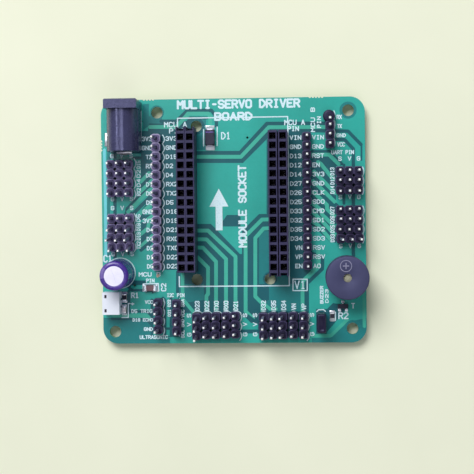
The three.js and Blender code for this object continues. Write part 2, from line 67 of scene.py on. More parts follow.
# ------------------------------------------------------------------ mesh maker
class Build:
    """Collects closed shells in millimetres and writes them as one object in metres."""

    def __init__(self):
        self.v, self.f, self.m, self.s = [], [], [], []

    def add(self, pts, faces, mat=0, smooth=False, xf=None):
        base = len(self.v)
        self.v.extend([xf(p) for p in pts] if xf else pts)
        for k, f in enumerate(faces):
            self.f.append([base + i for i in f])
            self.m.append(mat[k] if isinstance(mat, list) else mat)
            self.s.append(smooth[k] if isinstance(smooth, list) else smooth)

    def rings(self, rings, mat=0, smooth=False, xf=None, cap0=True, cap1=True, capmat=None):
        """Joins closed rings of equal length; the first and last are capped unless they are single points."""
        pts, idx = [], []
        for r in rings:
            idx.append(list(range(len(pts), len(pts) + len(r))))
            pts.extend(r)
        faces, mats, sm = [], [], []
        seg_m = mat if isinstance(mat, list) else [mat] * (len(rings) - 1)
        seg_s = smooth if isinstance(smooth, list) else [smooth] * (len(rings) - 1)
        for k in range(len(rings) - 1):
            a, b = idx[k], idx[k + 1]
            if len(a) == 1 and len(b) == 1:
                continue
            if len(a) == 1:
                n = len(b)
                for i in range(n):
                    faces.append([a[0], b[(i + 1) % n], b[i]]); mats.append(seg_m[k]); sm.append(seg_s[k])
            elif len(b) == 1:
                n = len(a)
                for i in range(n):
                    faces.append([a[i], a[(i + 1) % n], b[0]]); mats.append(seg_m[k]); sm.append(seg_s[k])
            else:
                n = len(a)
                for i in range(n):
                    j = (i + 1) % n
                    faces.append([a[i], a[j], b[j], b[i]]); mats.append(seg_m[k]); sm.append(seg_s[k])
        cm = capmat if capmat is not None else (seg_m[0], seg_m[-1])
        if cap0 and len(idx[0]) > 2:
            faces.append(list(reversed(idx[0]))); mats.append(cm[0]); sm.append(False)
        if cap1 and len(idx[-1]) > 2:
            faces.append(idx[-1]); mats.append(cm[1]); sm.append(False)
        self.add(pts, faces, mats, sm, xf)

    def prism(self, outline, z0, z1, b1=0.1, b0=0.0, mat=0, xf=None, steps=1):
        """A vertical prism with chamfered or rounded top and bottom edges; outline runs counter-clockwise."""
        rs = []
        if b0 > 0:
            for k in range(steps + 1):
                a = (math.pi / 2) * k / steps
                rs.append([(x, y, z0 + b0 * (1 - math.cos(a))) for x, y in inset(outline, b0 * (1 - math.sin(a)))])
        else:
            rs.append([(x, y, z0) for x, y in outline])
        if b1 > 0:
            for k in range(steps + 1):
                a = (math.pi / 2) * k / steps
                rs.append([(x, y, z1 - b1 * (1 - math.sin(a))) for x, y in inset(outline, b1 * (1 - math.cos(a)))])
        else:
            rs.append([(x, y, z1) for x, y in outline])
        self.rings(rs, mat, steps > 1, xf)

    def box(self, x0, x1, y0, y1, z0, z1, b=0.0, mat=0, xf=None, b0=None):
        self.prism([(x0, y0), (x1, y0), (x1, y1), (x0, y1)], z0, z1, b, b if b0 is None else b0, mat, xf)

    def lathe(self, profile, cx=0, cy=0, n=32, mat=0, smooth=True, xf=None, phase=0.0):
        """profile: (radius, z) from the bottom axis or rim to the top axis or rim, outside on the right."""
        rs = []
        for r, z in profile:
            if r < 1e-6:
                rs.append([(cx, cy, z)])
            else:
                rs.append([(cx + r * math.cos(phase + 2 * math.pi * i / n), cy + r * math.sin(phase + 2 * math.pi * i / n), z) for i in range(n)])
        self.rings(rs, mat, smooth, xf)

    def loop(self, profile, cx=0, cy=0, n=32, mat=0, smooth=True, xf=None):
        """A closed ring-shaped lathe: the profile closes on itself."""
        pts, k = [], len(profile)
        for r, z in profile:
            pts += [(cx + r * math.cos(2 * math.pi * i / n), cy + r * math.sin(2 * math.pi * i / n), z) for i in range(n)]
        faces, mats, sm = [], [], []
        for a in range(k):
            b = (a + 1) % k
            for i in range(n):
                j = (i + 1) % n
                faces.append([a * n + i, a * n + j, b * n + j, b * n + i])
                mats.append(mat[a] if isinstance(mat, list) else mat)
                sm.append(smooth[a] if isinstance(smooth, list) else smooth)
        self.add(pts, faces, mats, sm, xf)

    def bar(self, path, w, h, mat=0, up=(0, 0, 1), xf=None):
        """A rectangular strip swept along a path of points; w is across, h along up."""
        up = Vector(up)
        rs = []
        pv = [Vector(p) for p in path]
        for i, p in enumerate(pv):
            d = (pv[min(i + 1, len(pv) - 1)] - pv[max(i - 1, 0)]).normalized()
            side = d.cross(up).normalized()
            nn = side.cross(d).normalized()
            rs.append([tuple(p + side * (sx * w / 2) + nn * (sy * h / 2)) for sx, sy in ((-1, -1), (1, -1), (1, 1), (-1, 1))])
        self.rings(rs, mat, False, xf)

    def obj(self, name, mats, body="board", replaces=(), slot=None, sharp=35, bevel=None):
        me = bpy.data.meshes.new(name)
        me.from_pydata([(x * MM, y * MM, z * MM) for x, y, z in self.v], [], self.f)
        for mt in mats:
            me.materials.append(mt)
        me.polygons.foreach_set("material_index", self.m)
        me.polygons.foreach_set("use_smooth", [bool(s) for s in self.s])
        me.update()
        me.validate()
        o = bpy.data.objects.new(name, me)
        bpy.context.scene.collection.objects.link(o)
        if any(self.s):
            me.set_sharp_from_angle(angle=math.radians(sharp))
        if bevel:
            w, seg = bevel
            mod = o.modifiers.new("edge", "BEVEL")
            mod.width = w * MM
            mod.segments = seg
            mod.limit_method = "ANGLE"
            mod.angle_limit = math.radians(40)
            mod.use_clamp_overlap = True
            mod.harden_normals = False
        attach(o, body)
        if replaces:
            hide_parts(*([replaces] if isinstance(replaces, str) else replaces))
        return o


def inset(outline, d):
    """Moves a counter-clockwise outline inwards by d with mitred corners."""
    if d == 0:
        return list(outline)
    n, out = len(outline), []
    for i in range(n):
        p0, p1, p2 = Vector(outline[i - 1]), Vector(outline[i]), Vector(outline[(i + 1) % n])
        a, b = (p1 - p0).normalized(), (p2 - p1).normalized()
        na, nb = Vector((-a.y, a.x)), Vector((-b.y, b.x))
        s = na + nb
        s = s / max(s.length_squared / 2, 0.4)
        out.append((p1.x + s.x * d, p1.y + s.y * d))
    return out


def round_rect(x0, x1, y0, y1, r, n=5):
    pts = []
    for cx, cy, q in ((x1 - r, y1 - r, 0), (x0 + r, y1 - r, 1), (x0 + r, y0 + r, 2), (x1 - r, y0 + r, 3)):
        for i in range(n + 1):
            a = (q + i / n) * math.pi / 2
            pts.append((cx + r * math.cos(a), cy + r * math.sin(a)))
    return pts


def ring_pts(cx, cy, r, n):
    return [(cx + r * math.cos(2 * math.pi * i / n), cy + r * math.sin(2 * math.pi * i / n)) for i in range(n)]


def stroke_polys(pts, w, n=10):
    """The area of a round-ended line as overlapping convex outlines, one per segment."""
    out = []
    r = w / 2
    for a, b in zip(pts[:-1], pts[1:]):
        dx, dy = b[0] - a[0], b[1] - a[1]
        if dx * dx + dy * dy < 1e-9:
            continue
        t = math.atan2(dy, dx)
        out.append([(b[0] + r * math.cos(t + (k / n - 0.5) * math.pi), b[1] + r * math.sin(t + (k / n - 0.5) * math.pi)) for k in range(n + 1)]
                   + [(a[0] - r * math.cos(t + (k / n - 0.5) * math.pi), a[1] - r * math.sin(t + (k / n - 0.5) * math.pi)) for k in range(n + 1)])
    return out


def arrange(polys, eps=1e-5):
    """Splits the plane along every outline. Returns points, triangles and, per triangle, the outlines it lies in."""
    vs, fs = [], []
    for p in polys:
        fs.append(list(range(len(vs), len(vs) + len(p))))
        vs.extend(Vector(q) for q in p)
    v, _e, f, _ov, _oe, of = delaunay_2d_cdt(vs, [], fs, 1, eps, True)
    return v, f, of


def flat_union(b, polys, z0, z1, mat=0):
    """Adds the union of the outlines as a plate from z0 to z1."""
    v, f, of = arrange(polys)
    keep = [t for t, o in zip(f, of) if o]
    slab(b, v, keep, z0, z1, mat)


def slab(b, v, tris, z0, z1, mat=0):
    used, rim = {}, {}
    for t in tris:
        for i in t:
            used.setdefault(i, len(used))
        for i, j in zip(t, t[1:] + t[:1]):
            if (j, i) in rim:
                del rim[(j, i)]
            else:
                rim[(i, j)] = True
    n = len(used)
    pts = [None] * (2 * n)
    for i, k in used.items():
        pts[k] = (v[i].x, v[i].y, z0)
        pts[n + k] = (v[i].x, v[i].y, z1)
    faces = [[n + used[i] for i in t] for t in tris]
    faces += [[used[i] for i in reversed(t)] for t in tris]
    faces += [[used[i], used[j], n + used[j], n + used[i]] for i, j in rim]
    b.add(pts, faces, mat)


# ------------------------------------------------------------------- materials
class Mat:
    """A small helper for writing node materials."""

    def __init__(self, name):
        self.mat = bpy.data.materials.new(name)
        self.mat.use_nodes = True
        self.nt = self.mat.node_tree
        self.nt.nodes.clear()
        self.out = self.n("ShaderNodeOutputMaterial")
        self.b = self.n("ShaderNodeBsdfPrincipled")
        self.nt.links.new(self.b.outputs[0], self.out.inputs[0])
        self.tc = self.n("ShaderNodeTexCoord")

    def n(self, kind, **kw):
        node = self.nt.nodes.new(kind)
        for k, v in kw.items():
            setattr(node, k, v)
        return node

    def link(self, a, b):
        self.nt.links.new(a, b)
        return self

    def noise(self, scale, detail=4.0, rough=0.55, distort=0.0, stretch=(1, 1, 1)):
        mp = self.n("ShaderNodeMapping")
        mp.inputs["Scale"].default_value = stretch
        self.link(self.tc.outputs["Object"], mp.inputs["Vector"])
        t = self.n("ShaderNodeTexNoise")
        t.inputs["Scale"].default_value = scale
        t.inputs["Detail"].default_value = detail
        t.inputs["Roughness"].default_value = rough
        t.inputs["Distortion"].default_value = distort
        self.link(mp.outputs[0], t.inputs["Vector"])
        return t.outputs["Fac"]

    def ramp(self, fac, stops):
        r = self.n("ShaderNodeValToRGB")
        e = r.color_ramp.elements
        while len(e) < len(stops):
            e.new(0.5)
        for el, (p, c) in zip(e, stops):
            el.position = p
            el.color = (*c, 1.0) if len(c) == 3 else c
        self.link(fac, r.inputs[0])
        return r.outputs[0]

    def remap(self, fac, lo, hi, f0=0.0, f1=1.0):
        r = self.n("ShaderNodeMapRange")
        r.inputs["From Min"].default_value = f0
        r.inputs["From Max"].default_value = f1
        r.inputs["To Min"].default_value = lo
        r.inputs["To Max"].default_value = hi
        self.link(fac, r.inputs["Value"])
        return r.outputs[0]

    def bump(self, height, strength, distance, normal=None):
        bp = self.n("ShaderNodeBump")
        bp.inputs["Strength"].default_value = strength
        bp.inputs["Distance"].default_value = distance
        self.link(height, bp.inputs["Height"])
        if normal is not None:
            self.link(normal, bp.inputs["Normal"])
        return bp.outputs[0]

    def set(self, **kw):
        for k, v in kw.items():
            sock = self.b.inputs[k.replace("_", " ")]
            if hasattr(v, "is_output") or isinstance(v, bpy.types.NodeSocket):
                self.link(v, sock)
            elif isinstance(v, tuple) and len(v) == 3:
                sock.default_value = (*v, 1.0)
            else:
                sock.default_value = v
        return self


def srgb(r, g, b):
    def f(c):
        c /= 255.0
        return c / 12.92 if c <= 0.04045 else ((c + 0.055) / 1.055) ** 2.4
    return (f(r), f(g), f(b))


def shade(c, k):
    return tuple(min(1.0, x * k) for x in c)


def mat_mask(name, colour, rough, weave=0.0):
    """Solder mask: glossy lacquer with orange peel, pigment mottling and, over bare laminate, a faint glass weave."""
    m = Mat(name)
    big = m.noise(55, 3, 0.6)
    fine = m.noise(1400, 3, 0.6)
    col = m.ramp(big, [(0.3, shade(colour, 0.88)), (0.5, colour), (0.72, shade(colour, 1.10))])
    mix = m.n("ShaderNodeMix", data_type="RGBA", blend_type="MULTIPLY")
    mix.inputs[0].default_value = 0.35
    m.link(col, mix.inputs[6])
    m.link(m.ramp(fine, [(0.35, (0.86, 0.88, 0.88)), (0.65, (1, 1, 1))]), mix.inputs[7])
    peel = m.noise(420, 2, 0.5)
    nrm = m.bump(peel, 0.10, 0.00006)
    if weave > 0:
        wx = m.n("ShaderNodeTexWave", bands_direction="X")
        wx.inputs["Scale"].default_value = 620
        wy = m.n("ShaderNodeTexWave", bands_direction="Y")
        wy.inputs["Scale"].default_value = 620
        for w in (wx, wy):
            w.inputs["Distortion"].default_value = 1.2
            w.inputs["Detail"].default_value = 1.0
            m.link(m.tc.outputs["Object"], w.inputs["Vector"])
        ad = m.n("ShaderNodeMath", operation="MAXIMUM")
        m.link(wx.outputs["Fac"], ad.inputs[0])
        m.link(wy.outputs["Fac"], ad.inputs[1])
        nrm = m.bump(ad.outputs[0], weave, 0.00004, nrm)
    m.set(Base_Color=mix.outputs[2], Roughness=m.remap(m.noise(90, 4), rough - 0.05, rough + 0.09),
          Normal=nrm, Specular_IOR_Level=0.32)
    return m.mat


def mat_plastic(name, colour, rough=0.42, grain=0.12, grain_scale=2600, mottle=0.12, spec=0.5, tint=None):
    """Moulded plastic: fine spark texture, slow colour drift, faint flow marks and rubbed patches."""
    m = Mat(name)
    slow = m.noise(140, 4, 0.6)
    c2 = tint or shade(colour, 1.5)
    col = m.ramp(slow, [(0.3, shade(colour, 1 - mottle)), (0.55, colour), (0.8, c2)])
    fine = m.noise(grain_scale, 3, 0.7)
    flow = m.noise(500, 3, 0.5, stretch=(1, 1, 0.15))
    nrm = m.bump(fine, grain, 0.00003)
    nrm = m.bump(flow, grain * 0.5, 0.00004, nrm)
    wear = m.noise(320, 5, 0.65)
    m.set(Base_Color=col, Roughness=m.remap(wear, rough - 0.08, rough + 0.12, 0.3, 0.7), Normal=nrm, Specular_IOR_Level=spec,
          Specular_Tint=(0.62, 0.64, 1.0) if max(colour) < 0.25 else (1.0, 1.0, 1.0))
    return m.mat


def mat_metal(name, colour, rough=0.22, tarnish=None, brushed=None, bump=0.08):
    """Plated metal: drawn lines or plating ripple, and cloudy tarnish."""
    m = Mat(name)
    cloud = m.noise(260, 5, 0.6)
    t = tarnish or shade(colour, 0.72)
    col = m.ramp(cloud, [(0.28, t), (0.5, colour), (0.75, shade(colour, 1.06))])
    lines = m.noise(1800, 3, 0.6, stretch=brushed or (1, 1, 1))
    nrm = m.bump(lines, bump, 0.00003)
    m.set(Base_Color=col, Metallic=1.0, Roughness=m.remap(cloud, rough, rough + 0.16, 0.3, 0.7), Normal=nrm)
    return m.mat


MASK_COPPER = mat_mask("mask_over_copper", srgb(44, 170, 160), 0.34)
MASK_TRACE = mat_mask("mask_over_track", srgb(66, 182, 162), 0.34)
MASK_MID = mat_mask("mask_over_laminate", srgb(26, 126, 130), 0.36, 0.10)
MASK_GAP = mat_mask("mask_in_gap", srgb(16, 94, 106), 0.38, 0.12)
# painted highlight: a light-cyan mask tone for the lit band along the board's left rim
MASK_RIM_PAINTED_HIGHLIGHT = mat_mask("mask_at_board_rim", srgb(112, 212, 224), 0.34)
MASK_BACK = mat_mask("mask_underside", srgb(20, 140, 112), 0.34)
MASK_BACK_GAP = mat_mask("mask_underside_gap", srgb(12, 84, 74), 0.38, 0.12)


def mat_laminate():
    """Cut edge of glass-epoxy laminate: thin horizontal glass plies in yellow-green resin with saw marks."""
    m = Mat("laminate_edge")
    ply = m.n("ShaderNodeTexWave", bands_direction="Z")
    ply.inputs["Scale"].default_value = 1500
    ply.inputs["Distortion"].default_value = 2.5
    ply.inputs["Detail"].default_value = 3
    m.link(m.tc.outputs["Object"], ply.inputs["Vector"])
    mixn = m.noise(900, 4, 0.7)
    col = m.ramp(ply.outputs["Fac"], [(0.1, srgb(96, 150, 112)), (0.5, srgb(130, 176, 128)), (0.9, srgb(168, 196, 140))])
    mx = m.n("ShaderNodeMix", data_type="RGBA", blend_type="MULTIPLY")
    mx.inputs[0].default_value = 0.5
    m.link(col, mx.inputs[6])
    m.link(m.ramp(mixn, [(0.3, (0.75, 0.78, 0.7)), (0.7, (1, 1, 1))]), mx.inputs[7])
    m.set(Base_Color=mx.outputs[2], Roughness=0.72, Normal=m.bump(ply.outputs["Fac"], 0.3, 0.00004))
    return m.mat


LAMINATE = mat_laminate()


def mat_ink():
    """Screen-printed legend ink: slightly chalky white with pinholes and uneven cover."""
    m = Mat("legend_ink")
    pin = m.noise(2600, 4, 0.7)
    cover = m.noise(240, 3, 0.5)
    col = m.ramp(pin, [(0.30, srgb(168, 208, 222)), (0.42, srgb(208, 236, 248)), (0.7, srgb(222, 244, 252))])
    m.set(Base_Color=col, Roughness=m.remap(cover, 0.5, 0.66), Normal=m.bump(pin, 0.25, 0.00003), Specular_IOR_Level=0.35)
    return m.mat


INK = mat_ink()
BLACK = mat_plastic("header_nylon", (0.014, 0.011, 0.034), 0.40, 0.14, tint=(0.024, 0.019, 0.054), spec=0.4)
# painted shade: a darker nylon on the boss round each pin, for the dark pin hole at the block's centre
BOSS_PAINTED_SHADE = mat_plastic("header_nylon_boss", (0.010, 0.008, 0.020), 0.5, 0.1, spec=0.3)
# painted highlight: the lighter *_edge nylon goes on the block chamfers and on the strip top between the blocks
DARK = [BLACK, mat_plastic("header_nylon_edge", (0.080, 0.070, 0.150), 0.34, 0.1, tint=(0.12, 0.105, 0.21), spec=0.5), BOSS_PAINTED_SHADE]
# painted light: header_nylon_b is a lighter copy of the black nylon for the left servo blocks, which catch more light
PAINTED_HALF_LIT_NYLON = [mat_plastic("header_nylon_b", (0.052, 0.040, 0.105), 0.38, 0.14, tint=(0.080, 0.062, 0.150), spec=0.45),
          mat_plastic("header_nylon_b_edge", (0.23, 0.205, 0.38), 0.32, 0.1, tint=(0.32, 0.285, 0.50), spec=0.5), BOSS_PAINTED_SHADE]
# painted light: header_nylon_c is a still lighter copy of the black nylon for the left breakout strip
PAINTED_LIT_NYLON = [mat_plastic("header_nylon_c", (0.100, 0.078, 0.180), 0.34, 0.14, tint=(0.15, 0.12, 0.25), spec=0.6),
         mat_plastic("header_nylon_c_edge", (0.46, 0.42, 0.66), 0.30, 0.1, tint=(0.56, 0.52, 0.76), spec=0.6), BOSS_PAINTED_SHADE]
BLACK_STRIP = mat_plastic("socket_nylon", (0.034, 0.031, 0.078), 0.44, 0.12, tint=(0.052, 0.047, 0.112), spec=0.4)
# painted shade: near-black for the floors of the socket openings
CAVITY_PAINTED_SHADE = mat_plastic("socket_inside", (0.005, 0.005, 0.016), 0.7, 0.1, spec=0.2)
JACK = mat_plastic("jack_moulding", (0.042, 0.043, 0.106), 0.24, 0.05, 1900, tint=(0.060, 0.060, 0.146), spec=0.8)
# painted shade: a darker copy of the jack moulding for the bottom of the bore
JACK_INSIDE_PAINTED_SHADE = mat_plastic("jack_moulding_inside", (0.012, 0.012, 0.018), 0.5, 0.1, spec=0.3)
TIN = mat_metal("tin_plate", (0.84, 0.86, 0.97), 0.22, (0.62, 0.64, 0.74), (1, 1, 0.08))
# painted light: the shafts take a darkened copy of the pin plating, the tips and tails a near-white copy for glinting
# tips
SHAFT_PAINTED_SHADE = mat_metal("pin_plating", (0.30, 0.28, 0.42), 0.50, (0.20, 0.18, 0.30), (1, 1, 0.08))
TIP = mat_metal("pin_tip", (0.97, 0.97, 1.0), 0.50, (0.90, 0.90, 0.97), (1, 1, 0.3))
SOLDER = mat_metal("solder", (0.84, 0.86, 0.96), 0.30, (0.6, 0.62, 0.70), bump=0.15)
# painted shade: a darkened metal for the fork contacts deep in the socket openings
CONTACT_PAINTED_SHADE = mat_metal("socket_contact", (0.16, 0.15, 0.17), 0.45, (0.10, 0.09, 0.11), (1, 0.1, 1))
BRONZE = mat_metal("phosphor_bronze", (0.50, 0.42, 0.32), 0.34, (0.34, 0.28, 0.22), (1, 0.1, 1))
STEEL = mat_metal("spring_steel", (0.66, 0.67, 0.70), 0.24, (0.5, 0.5, 0.52), (0.1, 1, 1))
ALU = mat_metal("can_aluminium", (0.76, 0.75, 0.90), 0.45, (0.68, 0.67, 0.82), (1, 0.06, 1), 0.12)
COPPER = mat_metal("enamelled_copper", (0.72, 0.33, 0.14), 0.26, (0.48, 0.2, 0.08), (1, 1, 6), 0.3)
RUBBER = mat_plastic("bung_rubber", (0.02, 0.02, 0.021), 0.75, 0.3, 1500, spec=0.3)
NYLON = mat_plastic("white_nylon", srgb(233, 240, 255), 0.42, 0.16, 2200, mottle=0.04, tint=srgb(240, 246, 255), spec=0.4)
# painted shade: dark grey for the faces inside the slots and mouth of the white housing
NYLON_SHADE = mat_plastic("white_nylon_slot", srgb(58, 54, 68), 0.6, 0.1, mottle=0.04, tint=srgb(66, 62, 76))
SLEEVE = mat_plastic("shrink_sleeve", srgb(66, 40, 142), 0.22, 0.05, 900, mottle=0.15, tint=srgb(88, 60, 172), spec=0.6)
SLEEVE_MARK = mat_plastic("shrink_sleeve_band", srgb(106, 88, 166), 0.25, 0.05, 900, mottle=0.05, tint=srgb(124, 108, 182), spec=0.6)
EPOXY = mat_plastic("epoxy_moulding", (0.022, 0.020, 0.030), 0.5, 0.25, 3000, tint=(0.034, 0.032, 0.044), spec=0.45)
TAN = mat_plastic("fired_ceramic", srgb(120, 92, 96), 0.55, 0.2, 2800, mottle=0.1, tint=srgb(140, 112, 116), spec=0.4)
# painted highlight: a near-white copy of the solder for the rear crescent of the jack, which lies in the jack's shadow
SOLDER_LUG_PAINTED_HIGHLIGHT = mat_metal("solder_over_lug", (0.96, 0.96, 1.0), 0.30, (0.90, 0.91, 0.97), bump=0.12)
FLUX = mat_plastic("flux_residue", srgb(196, 170, 150), 0.35, 0.2, 1500, mottle=0.15, tint=srgb(220, 200, 180), spec=0.5)
CERAMIC = mat_plastic("alumina", srgb(232, 230, 224), 0.6, 0.2, 2800, mottle=0.03, tint=srgb(240, 238, 232))
LENS = mat_plastic("led_epoxy", srgb(236, 228, 236), 0.18, 0.03, 900, mottle=0.05, tint=srgb(244, 232, 226), spec=0.6)
BASEBOARD = mat_plastic("buzzer_base", (0.05, 0.16, 0.09), 0.6, 0.2, 2400)
BUZZER = mat_plastic("buzzer_case", (0.054, 0.057, 0.130), 0.52, 0.16, 2400, tint=(0.070, 0.073, 0.160), spec=0.4)
DIODE_END = mat_metal("diode_ends", (0.80, 0.78, 0.90), 0.62, (0.66, 0.64, 0.76), bump=0.2)
DISC = mat_metal("buzzer_disc", (0.42, 0.42, 0.32), 0.6, (0.34, 0.34, 0.26), bump=0.2)
